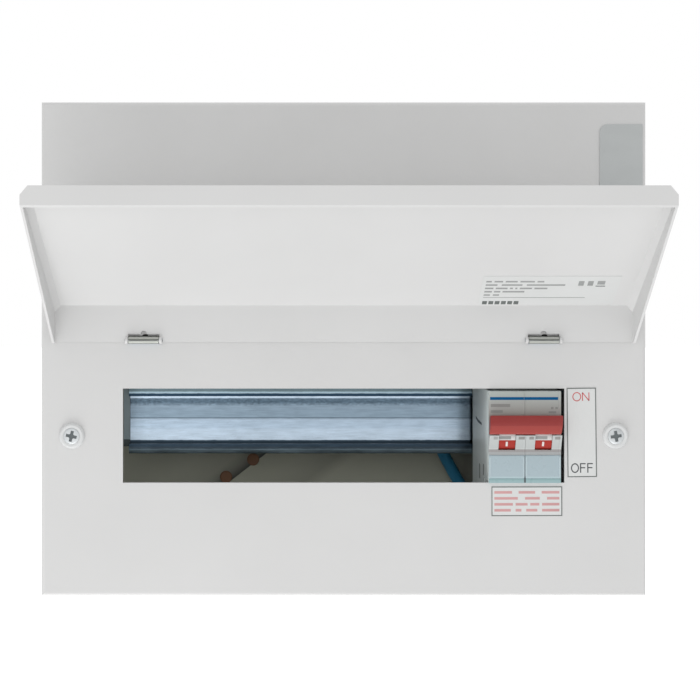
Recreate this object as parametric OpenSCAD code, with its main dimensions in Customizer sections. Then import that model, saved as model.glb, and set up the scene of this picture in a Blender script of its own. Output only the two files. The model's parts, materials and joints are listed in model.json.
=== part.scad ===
// Wall-mounted breaker panel box: base tray, front cover with a device window, hinged lid, top-hat rail,
// terminal bars and a two-pole main switch. Millimetres. X is to the viewer's right, Y goes into the wall and
// Z is up. The origin is the middle of the four wall fixing holes, on the wall face of the tray.
// Most places are given as [x, f, z], where f is the distance forward from the wall, so f = -Y.

/* [Enclosure] */
// Width of the front cover
box_w = 294; // [280:1:420]
// Height of the front cover
box_h = 240; // [230:1:320]
// Depth from the wall to the front face of the cover
box_d = 97; // [92:1:120]
// Thickness of the folded steel sheet
sheet = 1.2; // [1:0.1:1.5]
// Outer radius of the folds of cover and tray
bend_r = 2; // [1.6:0.1:3]
// Depth of the cover's edge that laps over the tray
skirt_d = 14; // [8:1:30]
// Gap between the cover's edge and the tray
skirt_gap = 0.3; // [0.2:0.1:1]
// Distance of each wall fixing hole from the two nearest edges of the cover
fixing_inset = 32; // [20:1:44]
// Radius of a wall fixing hole
fixing_r = 3; // [2:0.1:4]

/* [Knockouts] */
// Radius of a small cable knockout
knock_r = 10.25; // [8:0.25:12.5]
// Radius of a large cable knockout
knock_big_r = 16; // [12.5:0.5:18]
// Distance between the small knockouts
knock_pitch = 36; // [30:1:40]
// How many small knockouts stand in the top and in the bottom
knock_count = 5; // [1:1:6]
// Width of the cut round a knockout
knock_cut = 0.5; // [0.3:0.1:0.8]
// Width of the nibs that hold a knockout
knock_nib = 2; // [1:0.5:4]
// Length of the rear knockout between its round ends
rear_knock_l = 90; // [40:1:120]
// Radius of the rear knockout's ends
rear_knock_r = 12; // [8:1:14]

/* [Device window and cover screws] */
// Distance of the window from each side of the cover
window_side = 39.7; // [38:0.1:60]
// Height of the window
window_h = 45.8; // [45.4:0.1:50]
// Height of the rail's middle, measured from the box's middle
rail_z = -42.1; // [-46:0.1:-40]
// Distance of each cover screw from the side of the cover
screw_inset = 15; // [12:0.5:16]
// Radius of the cover screw's shank
screw_r = 1.95; // [1.4:0.05:2.2]
// Radius of the cover screw's head
screw_head_r = 3.9; // [3:0.1:4.4]
// Height of the cover screw's head
screw_head_h = 1.7; // [1.2:0.1:2.5]
// Length of the cover screw under its head
screw_l = 14; // [10:1:20]
// Outer radius of the cup washer
cup_r = 6.3; // [5:0.1:8]
// Height of the cup washer
cup_h = 2; // [1.6:0.1:3]
// Thickness of the cup washer's floor
cup_floor = 0.8; // [0.5:0.1:1.2]

/* [Lid] */
// Distance of the lid from each side of the cover
lid_side = 5.7; // [4:0.1:8]
// Height of the hinge line, measured from the box's middle
hinge_z = 3; // [0:0.1:6]
// Height of the lid's end at the hinges
lid_end_h = 18.9; // [14:0.1:26]
// How much shorter the lid's panel is than the cover below the hinge line
lid_short = 18.5; // [14:0.1:28]
// Slope of the open lid's panel
lid_slope = 32.2; // [26:0.1:38]
// Height of the lid's free end
lid_free_h = 8.6; // [6:0.1:12]
// Bevel along the lid's long side edges
lid_bevel = 3.4; // [1:0.1:5]
// Gap between the lid and the cover, open and closed
lid_gap = 0.3; // [0.2:0.1:0.8]

/* [Hinges] */
// Distance of each hinge from the lid's side
hinge_inset = 44.3; // [20:0.1:80]
// Length of the hinge knuckle
knuckle_l = 14.6; // [8:0.1:24]
// Outer radius of the hinge knuckle
knuckle_r = 1.75; // [1.5:0.05:1.9]
// Radius of the hinge pin
pin_r = 0.9; // [0.6:0.05:1]
// Height of the pin above the hinge line
pin_up = 1.45; // [1.3:0.05:1.8]
// Distance of the pin in front of the cover
pin_out = 2.1; // [2.05:0.05:2.4]
// Free play at the sides of the knuckle
knuckle_gap = 0.3; // [0.2:0.05:0.6]
// Opening over the knuckle in the lid's end
notch_gap = 1.2; // [0.6:0.1:2]
// Radius of the small round nick over the knuckle
nick_r = 1.5; // [0.5:0.1:2.5]
// Thickness of the hinge leaf
leaf_t = 1; // [0.8:0.1:1.2]
// Height of the hinge leaf behind the cover
leaf_h = 18; // [10:1:22]
// Width of the hinge leaf behind the cover
leaf_w = 24; // [16:1:40]

/* [Rail] */
// How far the rail runs past the window at each side
rail_past = 3.7; // [2:0.1:10]
// Height of the rail
rail_h = 35; // [35:1:35]
// Outer width of the rail's channel
rail_web = 27; // [27:1:27]
// Depth of the rail
rail_d = 7.5; // [7.5:0.5:7.5]
// Thickness of the rail
rail_t = 1; // [0.9:0.1:1.2]
// Distance from the rail's lips to the cover's front face
rail_back = 58.5; // [55:0.5:60]
// Distance of each rail support from the rail's end
support_inset = 23; // [12:1:40]
// Width of a rail support
support_w = 20; // [12:1:30]
// Thickness of a rail support
support_t = 1.5; // [1.2:0.1:2]
// Length of a rail support's feet
support_foot = 8; // [6:1:12]

/* [Main switch] */
// Gap between the main switch and the window's right side
switch_gap = 1.8; // [0.5:0.1:40]
// Width of one pole of the switch
pole_w = 17.6; // [17.4:0.1:17.8]
// Height of the switch
switch_h = 85; // [80:1:90]
// Height of the switch's nose
nose_h = 44.4; // [44:0.1:45]
// How far the nose's middle lies below the rail's middle
nose_drop = 0.55; // [0:0.05:0.6]
// How far the nose stands out of the cover
nose_out = 1.5; // [0.5:0.1:2.5]
// Depth of the nose in front of the switch's shoulders
nose_d = 16; // [12:0.5:20]
// Depth of the switch behind the rail's lips
switch_back = 6; // [5.5:0.1:6.2]
// Wall of a pole's case
case_wall = 1.2; // [1:0.1:1.4]
// Thickness of a pole's cheek plate
cheek_t = 1.2; // [1:0.1:1.4]
// Gap between two poles
pole_gap = 0.1; // [0.05:0.05:0.2]

/* [Toggle] */
// Distance of the toggle's axle behind the nose's front
axle_back = 6.5; // [6.3:0.1:7]
// Radius of the toggle's axle
axle_r = 1.2; // [0.8:0.05:1.5]
// Radius of a toggle drum
drum_r = 8.4; // [8:0.1:8.6]
// Width of a toggle drum
drum_w = 7.6; // [6:0.1:8]
// Angle of the toggle above level when it is on
toggle_on = 30; // [25:1:31]
// Distance from the axle to the back of the toggle bar
bar_in = 10.6; // [10.4:0.1:11.5]
// Depth of the toggle bar
bar_d = 3.6; // [3:0.1:4.5]
// Height of the toggle bar
bar_h = 8.9; // [7:0.1:9.2]
// Thickness of the arm that carries the toggle bar
arm_t = 3.8; // [2.5:0.1:3.8]
// How far the hood under the toggle bar stands out of the nose
hood_out = 3.8; // [1:0.1:3.9]
// Height of the hood's edge above the rail's middle
hood_z = 0.8; // [0:0.1:1]

/* [Contacts] */
// Width of the copper parts
copper_w = 7; // [5:0.5:8]
// Thickness of the copper parts
copper_t = 1.6; // [1.2:0.1:2]
// Radius of a contact tip
tip_r = 2.4; // [1.5:0.1:3]
// Thickness of a contact tip
tip_t = 1; // [0.8:0.1:1.2]
// Distance of each contact tip from the rail's middle
tip_z = 11; // [9:0.5:14]
// Width of the contact carriage
carriage_w = 14.2; // [12:0.1:14.4]
// Height of the contact carriage
carriage_h = 9; // [6:0.5:12]
// Depth of the contact carriage
carriage_d = 12; // [8:0.5:13]

/* [Terminal bars] */
// How many terminals a bar has
way_count = 12; // [4:1:12]
// Distance between the terminals
way_pitch = 10; // [9:0.5:10]
// Height and depth of a terminal bar
bar_size = 10; // [8:0.5:12]
// Radius of a wire hole in a terminal bar
wire_r = 2.75; // [2:0.05:3]
// Radius of a terminal screw
clamp_r = 2; // [1.5:0.05:2.4]
// Place of the last terminal, measured from the box's middle
way_end = 44; // [30:1:50]
// Distance of the earth bar's middle from the tray's roof
earth_drop = 15.3; // [12:0.1:20]
// Distance between the neutral bar and the earth bar
bar_rise = 23; // [20:0.5:30]
// Distance from the wall to the back of the neutral bar
neutral_f = 37; // [30:1:50]
// Distance from the wall to the back of the earth bar
earth_f = 25; // [20:1:40]

/* [Labels] */
// Thickness of a label
label_t = 0.2; // [0.1:0.05:0.4]
// Width of the ON and OFF label
state_w = 14.3; // [10:0.1:16]
// Height of the ON and OFF label
state_h = 43; // [30:1:46]
// Width of the ruled label under the switch
notice_w = 34; // [20:1:40]
// Height of the ruled label under the switch
notice_h = 14; // [8:1:20]
// Gap between a label and the edge that it stands by
label_gap = 1.5; // [1:0.1:3]
// Distance of the badge plate from the side of the cover
badge_side = 1.8; // [1.8:0.1:10]
// Distance of the badge plate from the top of the cover
badge_top = 10.7; // [3:0.1:40]
// Width of the badge plate
badge_w = 20.8; // [10:0.1:22]
// Height of the badge plate
badge_h = 41; // [30:1:44]
// Thickness of the badge plate
badge_t = 0.6; // [0.4:0.1:1.5]
// Radius of the badge plate's round corner
badge_r = 4; // [1:0.5:8]
// Distance of the label inside the lid from the lid's side
lid_label_side = 11.2; // [4:0.1:60]
// Width of the label inside the lid
lid_label_w = 65; // [40:1:80]
// Length of the label inside the lid, along its slope
lid_label_l = 27; // [15:1:40]

/* [Hidden] */
LEFT = -1;
RIGHT = 1;
SIDES = [LEFT, RIGHT];
over = 0.5;            // how far a cut runs past the face it cuts
fine = 48;             // sides of a drawn circle
fit = 0.05;            // radial play of a pin or screw in its hole

// enclosure
window_w = box_w - 2 * window_side;
screw_x = box_w / 2 - screw_inset;
fixing_w = box_w - 2 * fixing_inset;
fixing_h = box_h - 2 * fixing_inset;
tray_w = box_w - 2 * (sheet + skirt_gap);
tray_h = box_h - 2 * (sheet + skirt_gap);
cover_back = box_d - sheet;
tray_front = cover_back - skirt_gap;
wall_in = tray_w / 2 - sheet;
roof_in = tray_h / 2 - sheet;
knock_f = 58;          // distance of the top and bottom knockouts from the wall
rear_knock_z = 38;     // height of the rear knockout
side_knock_drop = 25.3; // distance of the upper side knockout from the tray's roof
side_knock_rise = 42;
side_knock_z = [roof_in - side_knock_drop, roof_in - side_knock_drop - side_knock_rise];
bracket_t = 1.5;
bracket_h = 24;
bracket_leg = 34;
bracket_in = 8;        // how far a bracket's tab reaches past the screw
boss_r = 4;
boss_h = 8;

// lid, drawn open in [f, z]
lid_w = box_w - 2 * lid_side;
lid_panel_l = box_h / 2 + hinge_z - lid_short;
hinge_x = lid_w / 2 - hinge_inset;
pin_f = box_d + pin_out;
pin_z = hinge_z + pin_up;
lid_f = box_d + lid_gap;
lid_p1 = [lid_f, hinge_z + lid_end_h];
lid_p2 = lid_p1 + lid_panel_l * [cos(lid_slope), sin(lid_slope)];
lid_p3 = lid_p2 - [0, lid_free_h];
lid_reach = norm(lid_p3 - [pin_f, pin_z]);
rim_drop = pin_out - lid_gap - 0.1;      // how far the closed rim lies behind the pin
rim_slope = atan2(lid_p3[1] - pin_z, lid_p3[0] - pin_f) + asin(rim_drop / lid_reach);
rim_start = [pin_f, pin_z] + rim_drop * [sin(rim_slope), -cos(rim_slope)];
end_foot = [lid_f, hinge_z + pin_up / 2];
lid_inner_p1 = [lid_f + sheet, lid_p1[1] + sheet * tan(lid_slope) - sheet / cos(lid_slope)];
lid_inner_p2 = [
    lid_p2[0] - sheet,
    lid_p2[1] - sheet * tan(lid_slope) - sheet / cos(lid_slope)
];
inner_bevel = lid_bevel - (2 - sqrt(2)) * sheet;
notch_w = knuckle_l + 2 * knuckle_gap;
notch_top = pin_z + knuckle_r + notch_gap;
lug_t = sheet;
lug_r = knuckle_r - 0.05;
lid_label_x = lid_w / 2 - lid_label_side - lid_label_w / 2;
lid_label_start = 1.5; // distance of the lid label from the lid's fold

// rail
rail_l = window_w + 2 * rail_past;
support_x = rail_l / 2 - support_inset;
rail_f = box_d - rail_back;              // front of the rail's lips
web_f = rail_f - rail_d;                 // back of the rail's channel
groove = 0.3;

// main switch, heights measured from the rail's middle
switch_x = window_w / 2 - switch_gap - 2 * pole_w;
nose_f = box_d + nose_out;
shoulder_f = nose_f - nose_d;
back_f = rail_f - switch_back;
seat = 0.3;                              // play between the switch and the rail
lip_hook = 2;                            // how far the case reaches down behind the upper lip
axle_f = nose_f - axle_back;
axle_l = 2 * pole_w - pole_gap - 1.6;
case_w = pole_w - pole_gap - cheek_t;    // one pole's case without its cheek plate
chamber_w = case_w - case_wall;
slot_w = drum_w + 0.6;
nose_wall = 1.2;
slot_h = 2 * (sqrt(pow(drum_r, 2) - pow(axle_back - nose_wall, 2)) + 0.3);
chamber_h = nose_h - 2 * (case_wall + nose_drop) - 1;
chamber_back = rail_f + 2;
chamber_front = nose_f - nose_wall;
side_slot = [24, 1.2];                   // vent slot in each case's left wall: how far it runs, and its height
side_slot_back = 6.5;                    // distance of the slot from the rail's lips
side_slot_rise = 1.8;                    // height of its middle above the middle of the rail
term_gap = 3.2;                          // wall between the contact and terminal chambers
term_z0 = chamber_h / 2 + term_gap;
term_z1 = switch_h / 2 - case_wall;
term_z = (term_z0 + term_z1) / 2;
term_deep = 15.5;                        // distance of the terminal chambers from the rail's lips
term_back = rail_f + term_deep;
term_front = shoulder_f - 1.6;
strap_f = rail_f + 21.5;                 // back of the fixed contacts
tip_gap = 0.1;
bridge_f = strap_f + copper_t + 2 * tip_t + tip_gap;
bridge_h = 2 * (tip_z + tip_r);
carriage_f = bridge_f + copper_t;
cage_w = 12.4;
cage_h = 12;
cage_f = strap_f - 3;
cage_d = 14;
cage_hole_w = 8.4;
cage_wall = 1.6;
term_screw_r = 2.4;
term_head_r = 3.2;
term_head_h = 3;
term_open = 5.2;                         // room for a wire between strap and screw
term_tip_f = strap_f + copper_t + term_open;
term_screw_l = 12;
core_r = 2.4;
core_f = strap_f + copper_t + 0.2 + core_r;
window_z0 = -nose_h / 2 - nose_drop;     // the pale label windows on the nose
window_z1 = -9.2;
window_t = 1;
window_proud = 0.2;
window_play = 0.1;
rivet_r = 1.2;
rivet_back = 6.5;
rivet_z = [25, 37];
clip_w = 18;
clip_t = 3.2;
clip_f = back_f + case_wall + 0.2;
clip_nose_z = -rail_web / 2 - 1.1;
clip_tail = 4;
clip_play = 0.2;
clip_slot = [6, 1.6];

// terminal bars
way_x = way_end - (way_count - 1) * way_pitch;
earth_z = roof_in - earth_drop;
neutral_z = earth_z - bar_rise;
bar_over = 16;                           // length of a bar past its last wire hole
post_w = 8;
carrier_t = 3;
carrier_h = bar_size + 4;
clamp_l = 6;
bar_x0 = way_x - bar_over;
bar_x1 = way_x + (way_count - 1) * way_pitch + bar_over;
post_x = [bar_x0 + post_w / 2 + 1, bar_x1 - post_w / 2 - 1];
post_screw_r = 1.6;
post_screw_l = 16;
carrier_rivet_r = 1.6;

// labels
state_up = 1;                            // height of the ON and OFF label's middle above the rail's
state_x = window_w / 2 + label_gap + state_w / 2;
ruled_x = window_w / 2 - 1 - notice_w / 2;
ruled_z = rail_z - window_h / 2 - label_gap - 0.9 - notice_h / 2;
badge_x0 = box_w / 2 - badge_side - badge_w;
badge_z1 = box_h / 2 - badge_top;
plug_r = 3.3;
plug_h = 2;
plug_places = [[-61.8, -77.9], [-47, -68.3]];

// The blue link cable from the switch's lower left terminal: one turn down under the switch, then up behind
// the rail and forward to the neutral bar
cable_r = 3.2;
cable_sides = 10;
cable_steps = 3;
turn_r = 27.5;
turn_steps = 8;
turn_drift = 12;
rise_from = [15.2, -6];                  // f and z where the cable starts to come forward
rise_steps = 4;
link_gap = 0.2;                          // between the end of its sleeve and the terminal chamber
link_start = [switch_x + pole_w / 2, core_f, rail_z - term_z1 - link_gap];
link_end = [way_end, neutral_f + bar_size / 2, neutral_z - bar_size / 2 - 3];
link_route = [
    for (k = [0 : turn_steps]) link_start - [
        turn_drift * pow(k / turn_steps, 3),
        turn_r * (1 - cos(180 * k / turn_steps)),
        turn_r * sin(180 * k / turn_steps)
    ],
    [61.4, 10, -73.3], [55.8, 11, -62.5], [51.2, 12.4, -50], [47.9, 13.8, -36], [45.8, 14.8, -21],
    for (k = [0 : rise_steps]) [
        link_end[0],
        rise_from[0] + (link_end[1] - rise_from[0]) * (1 - cos(180 * k / rise_steps)) / 2,
        rise_from[1] + (link_end[2] - rise_from[1]) * k / rise_steps
    ]
];

sheet_paint = [0.85, 0.86, 0.85];
zinc = [0.67, 0.71, 0.74];
case_grey = [0.77, 0.79, 0.78];
copper = [0.72, 0.45, 0.3];
brass = [0.78, 0.65, 0.36];
steel = [0.7, 0.7, 0.7];

// Puts its children at [x, f, z], f being the distance forward from the wall
module at(x, f, z) { translate([x, -f, z]) children(); }
// Extrudes a drawing in [f, z] across X, centred on x
module across(x, w) { translate([x, 0, 0]) rotate([90, 0, -90]) linear_extrude(w, center = true) children(); }
// A block from its middle in x, its range in f and its range in z
module block(x, w, f0, f1, z0, z1) { translate([x - w / 2, -f1, z0]) cube([w, f1 - f0, z1 - z0]); }
// A rod along Y from f0 to f1
module rod_f(x, z, r, f0, f1) { at(x, f0, z) rotate([90, 0, 0]) cylinder(r = r, h = f1 - f0, $fn = fine); }
// A rod across X, centred on x
module rod_x(x, f, z, r, l) {
    at(x, f, z) rotate([0, 90, 0]) cylinder(r = r, h = l, center = true, $fn = fine);
}
// A rod along Z from z0 to z1
module rod_z(x, f, r, z0, z1) { at(x, f, z0) cylinder(r = r, h = z1 - z0, $fn = fine); }

// A rectangle from y0 to y1 whose two corners at y0 are round
module rounded_side(w, y0, y1, r) {
    s = sign(y1 - y0);
    translate([-w / 2, min(y0 + s * r, y1)]) square([w, abs(y1 - y0) - r]);
    translate([-w / 2 + r, min(y0, y0 + s * r)]) square([w - 2 * r, r]);
    for (side = SIDES) translate([side * (w / 2 - r), y0 + s * r]) circle(r = r, $fn = fine);
}
// A block from f0 to f1 whose four edges at f0 are round, as a folded tray's are
module folded_block(w, h, f0, f1, r) {
    intersection() {
        linear_extrude(h, center = true) rounded_side(w, -f0, -f1, r);
        rotate([0, 90, 0]) linear_extrude(w, center = true) rounded_height(h, f0, f1, r);
    }
}
// The same outline turned so that its width runs up
module rounded_height(h, f0, f1, r) { rounded_side(h, -f0, -f1, r); }

// The ring that is cut round a knockout, less its nibs, as a drawing
module ring_cut(r, l = 0) {
    difference() {
        slot_outline(r, l);
        slot_outline(r - knock_cut, l);
        square([2 * r + l + 2 * over, knock_nib], center = true);
    }
}
// A round-ended slot, or a circle when l is 0
module slot_outline(r, l) {
    for (side = l == 0 ? [0] : SIDES) translate([side * l / 2, 0]) circle(r = r, $fn = fine);
    if (l > 0) square([l, 2 * r], center = true);
}
// A knockout ring through the back, the top or bottom, or a side of the tray
module back_knockout(x, z, r, l) {
    at(x, -over, z) rotate([90, 0, 0]) linear_extrude(sheet + 2 * over) ring_cut(r, l);
}
module flat_knockout(x, f, z, r) {
    at(x, f, z) linear_extrude(sheet + 2 * over, center = true) ring_cut(r);
}
module side_knockout(x, f, z, r) {
    at(x, f, z) rotate([0, 90, 0]) linear_extrude(sheet + 2 * over, center = true) ring_cut(r);
}

module base_tray() {
    color(sheet_paint) difference() {
        folded_block(tray_w, tray_h, 0, tray_front, bend_r);
        block(0, 2 * wall_in, sheet, tray_front + over, -roof_in, roof_in);
        for (x = SIDES, z = SIDES)
            rod_f(x * fixing_w / 2, z * fixing_h / 2, fixing_r, -over, sheet + over);
        for (z = SIDES * (tray_h - sheet) / 2) {
            for (i = [0 : knock_count - 1])
                flat_knockout((i - knock_count / 2) * knock_pitch, knock_f, z, knock_r);
            flat_knockout((knock_count / 2 + 0.15) * knock_pitch, knock_f, z, knock_big_r);
        }
        for (x = SIDES, z = side_knock_z) side_knockout(x * (tray_w - sheet) / 2, knock_f, z, knock_big_r);
        back_knockout(0, rear_knock_z, rear_knock_r, rear_knock_l);
        for (p = plug_places) rod_f(p[0], p[1], plug_r - 1, -over, sheet + over);
        for (x = post_x, z = [neutral_z, earth_z]) rod_f(x, z, carrier_rivet_r + fit, -over, sheet + over);
    }
}

module front_cover() {
    color(sheet_paint) difference() {
        folded_block(box_w, box_h, box_d, box_d - skirt_d, bend_r);
        block(0, box_w - 2 * sheet, -over, cover_back, -box_h / 2 + sheet, box_h / 2 - sheet);
        block(0, window_w, cover_back - over, box_d + over, rail_z - window_h / 2, rail_z + window_h / 2);
        for (x = SIDES) {
            rod_f(x * screw_x, rail_z, screw_r + 0.4, cover_back - over, box_d + over);
            block(x * hinge_x, knuckle_l + 2 * knuckle_gap, cover_back - over, box_d + over,
                pin_z - knuckle_r - 0.2, pin_z - knuckle_r + leaf_t + 0.2);
        }
    }
}

// A bracket welded to the tray's side wall, whose tab takes a cover screw
module cover_bracket(side) {
    tab_x = screw_x - bracket_in;
    color(zinc) difference() {
        union() {
            block(side * (wall_in - bracket_t / 2), bracket_t, tray_front - bracket_leg, tray_front,
                rail_z - bracket_h / 2, rail_z + bracket_h / 2);
            block(side * (tab_x + wall_in) / 2, wall_in - tab_x, tray_front - bracket_t, tray_front,
                rail_z - bracket_h / 2, rail_z + bracket_h / 2);
            rod_f(side * screw_x, rail_z, boss_r, tray_front - boss_h, tray_front);
        }
        rod_f(side * screw_x, rail_z, screw_r + fit, tray_front - boss_h - over, tray_front + over);
    }
}

// A cross for a screwdriver, cut into a head that ends at f
module driver_cross(x, z, f, l, w, depth) {
    block(x, l, f - depth, f + over, z - w / 2, z + w / 2);
    block(x, w, f - depth, f + over, z - l / 2, z + l / 2);
}

module cover_screws() {
    head_f = box_d + cup_floor;
    top_f = head_f + screw_head_h;
    color(steel) for (x = SIDES) difference() {
        union() {
            rod_f(x * screw_x, rail_z, screw_r, head_f - screw_l, head_f + over);
            rod_f(x * screw_x, rail_z, screw_head_r, head_f, top_f);
        }
        driver_cross(x * screw_x, rail_z, top_f, 1.3 * screw_head_r, 0.9, 0.7 * screw_head_h);
    }
}

module cover_screw_cups() {
    color("white") for (x = SIDES)
        at(x * screw_x, box_d, rail_z) rotate([90, 0, 0]) rotate_extrude($fn = fine) polygon([
            [screw_r + 0.2, 0], [cup_r, 0], [cup_r, cup_h / 3], [cup_r - 0.9, cup_h],
            [screw_head_r + 0.4, cup_h], [screw_head_r + 0.2, cup_floor], [screw_r + 0.2, cup_floor]
        ]);
}

module badge_plate() {
    front = box_d + badge_t;
    color([0.65, 0.67, 0.67]) difference() {
        translate([badge_x0, -box_d - badge_t, badge_z1 - badge_h]) cube([badge_w, badge_t, badge_h]);
        difference() {
            block(badge_x0, 2 * badge_r, box_d - over, front + over, badge_z1 - badge_r, badge_z1 + over);
            rod_f(badge_x0 + badge_r, badge_z1 - badge_r, badge_r, box_d - 2 * over, front + 2 * over);
        }
    }
}

module on_off_label() {
    z = rail_z + state_up;
    color("white") block(state_x, state_w, box_d, box_d + label_t, z - state_h / 2, z + state_h / 2);
}

module ruled_label() {
    color("white")
        block(ruled_x, notice_w, box_d, box_d + label_t, ruled_z - notice_h / 2, ruled_z + notice_h / 2);
}

// A fixed hinge: a leaf behind the cover whose tongue comes out through a slot and rolls round the pin
module hinge(side) {
    x = side * hinge_x;
    foot = pin_z - knuckle_r;
    color(zinc) difference() {
        union() {
            rod_x(x, pin_f, pin_z, knuckle_r, knuckle_l);
            block(x, knuckle_l, cover_back - leaf_t, pin_f, foot, foot + leaf_t);
            block(x, leaf_w, cover_back - leaf_t, cover_back, foot, foot + leaf_h);
        }
        rod_x(x, pin_f, pin_z, pin_r + fit, knuckle_l + 2 * over);
    }
}

module hinge_pins() {
    color(steel) for (x = SIDES)
        rod_x(x * hinge_x, pin_f, pin_z, pin_r, knuckle_l + 2 * (knuckle_gap + lug_t) + 0.4);
}

// Puts its children in the frame of the open lid's panel: -Y runs out along it and Z is its outer normal
module panel_frame(p) { at(0, p[0], p[1]) rotate([-lid_slope, 0, 0]) children(); }
// The two corner prisms that bevel the long edges of a panel of width w
module edge_prisms(w, b) {
    for (side = SIDES)
        translate([0, over + sheet, 0]) rotate([90, 0, 0]) linear_extrude(lid_panel_l + 4 * sheet)
            polygon([
                [side * (w / 2 + over), over], [side * (w / 2 - b - over), over],
                [side * (w / 2 + over), -b - over]
            ]);
}

module lid() {
    x_lug = knuckle_l / 2 + knuckle_gap + lug_t / 2;
    color(sheet_paint) difference() {
        union() {
            difference() {
                across(0, lid_w) polygon([end_foot, lid_p1, lid_p2, lid_p3, rim_start]);
                panel_frame(lid_p1) edge_prisms(lid_w, lid_bevel);
                difference() {
                    across(0, lid_w - 2 * sheet) polygon([
                        lid_inner_p1, lid_inner_p2, [lid_inner_p2[0], hinge_z],
                        [lid_inner_p2[0], hinge_z - lid_end_h], [lid_inner_p1[0], hinge_z - lid_end_h]
                    ]);
                    panel_frame(lid_inner_p1) edge_prisms(lid_w - 2 * sheet, inner_bevel);
                }
            }
            for (x = SIDES, s = SIDES) {
                rod_x(x * hinge_x + s * x_lug, pin_f, pin_z, lug_r, lug_t);
                block(x * hinge_x + s * x_lug, lug_t, lid_f + sheet / 2, pin_f, pin_z, pin_z + lug_r);
            }
        }
        for (x = SIDES) {
            block(x * hinge_x, notch_w, box_d - over, pin_f + knuckle_r + over,
                hinge_z - knuckle_r, notch_top);
            rod_f(x * hinge_x, notch_top, nick_r, box_d - over, lid_f + sheet + over);
            rod_x(x * hinge_x, pin_f, pin_z, pin_r + fit, notch_w + 2 * lug_t + 1);
        }
    }
}

module lid_label() {
    color("white") panel_frame(lid_inner_p1)
        translate([lid_label_x - lid_label_w / 2, -lid_label_start - lid_label_l, -label_t])
            cube([lid_label_w, lid_label_l, label_t]);
}

module din_rail() {
    h = rail_h / 2;
    w = rail_web / 2;
    color(zinc) difference() {
        across(0, rail_l) translate([0, rail_z]) polygon([
            [rail_f, h], [rail_f, w - rail_t], [web_f + rail_t, w - rail_t],
            [web_f + rail_t, groove], [web_f + rail_t - groove, 0], [web_f + rail_t, -groove],
            [web_f + rail_t, rail_t - w], [rail_f, rail_t - w], [rail_f, -h], [rail_f - rail_t, -h],
            [rail_f - rail_t, -w], [web_f, -w], [web_f, w], [rail_f - rail_t, w], [rail_f - rail_t, h]
        ]);
    }
}

// A hat-shaped bracket that carries the rail, welded to the tray and to the rail
module rail_support(side) {
    top = web_f;
    h = rail_web / 2 - rail_t;
    x = side * support_x;
    color(zinc) {
        block(x, support_w, top - support_t, top, rail_z - h, rail_z + h);
        for (s = SIDES) {
            z = rail_z + s * (h - support_t / 2);
            block(x, support_w, sheet, top, z - support_t / 2, z + support_t / 2);
            foot = rail_z + s * (h + support_foot / 2 - support_t / 2);
            block(x, support_w, sheet, sheet + support_t, foot - (support_foot + support_t) / 2,
                foot + (support_foot + support_t) / 2);
        }
    }
}

module way_places() { for (i = [0 : way_count - 1]) translate([way_x + i * way_pitch, 0, 0]) children(); }

// A terminal bar with its back at f and its middle at height z
module terminal_bar(f, z) {
    difference() {
        block((bar_x0 + bar_x1) / 2, bar_x1 - bar_x0, f, f + bar_size, z - bar_size / 2, z + bar_size / 2);
        way_places() {
            rod_z(0, f + bar_size / 2, wire_r, z - bar_size / 2 - over, z + bar_size / 2 + over);
            rod_f(0, z, clamp_r + fit, f + bar_size / 2, f + bar_size + over);
        }
        for (x = post_x) rod_f(x, z, post_screw_r + fit, f - over, f + bar_size + over);
    }
}

module bar_screws(f, z) {
    way_places() difference() {
        rod_f(0, z, clamp_r, f + bar_size - 2.2, f + bar_size - 2.2 + clamp_l);
        driver_cross(0, z, f + bar_size - 2.2 + clamp_l, 1.4 * clamp_r, 0.7, 1.2);
    }
}

module bar_carrier(f, z) {
    difference() {
        union() {
            block((bar_x0 + bar_x1) / 2, bar_x1 - bar_x0, sheet, sheet + carrier_t,
                z - carrier_h / 2, z + carrier_h / 2);
            for (x = post_x) {
                block(x, post_w, sheet, f, z - bar_size / 2, z + bar_size / 2);
                for (s = SIDES)
                    block(x, post_w, sheet, f + bar_size / 2, z + s * (bar_size / 2 + 1.1) - 0.9,
                        z + s * (bar_size / 2 + 1.1) + 0.9);
            }
        }
        for (x = post_x) {
            rod_f(x, z, post_screw_r + fit, f + bar_size - post_screw_l - over, f + over);
            rod_f(x, z, carrier_rivet_r + fit, sheet - over, sheet + 2 * carrier_t);
        }
    }
}

module neutral_bar() { color(brass) terminal_bar(neutral_f, neutral_z); }
module neutral_bar_screws() { color(brass) bar_screws(neutral_f, neutral_z); }
module neutral_bar_carrier() { color([0.25, 0.45, 0.7]) bar_carrier(neutral_f, neutral_z); }
module earth_bar() { color(brass) terminal_bar(earth_f, earth_z); }
module earth_bar_screws() { color(brass) bar_screws(earth_f, earth_z); }
module earth_bar_carrier() { color([0.3, 0.6, 0.35]) bar_carrier(earth_f, earth_z); }

module bar_fixing_screws() {
    color(steel) for (x = post_x, bar = [[neutral_f, neutral_z], [earth_f, earth_z]]) difference() {
        f = bar[0] + bar_size;
        union() {
            rod_f(x, bar[1], post_screw_r, f - post_screw_l, f + over);
            rod_f(x, bar[1], 2 * post_screw_r, f, f + post_screw_r);
        }
        driver_cross(x, bar[1], f + post_screw_r, 2.6 * post_screw_r, 0.8, 0.8 * post_screw_r);
    }
}

// Flush rivets that hold the bar carriers to the tray
module carrier_rivets() {
    color(steel) for (x = post_x, z = [neutral_z, earth_z])
        rod_f(x, z, carrier_rivet_r, 0, sheet + carrier_t);
}

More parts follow.
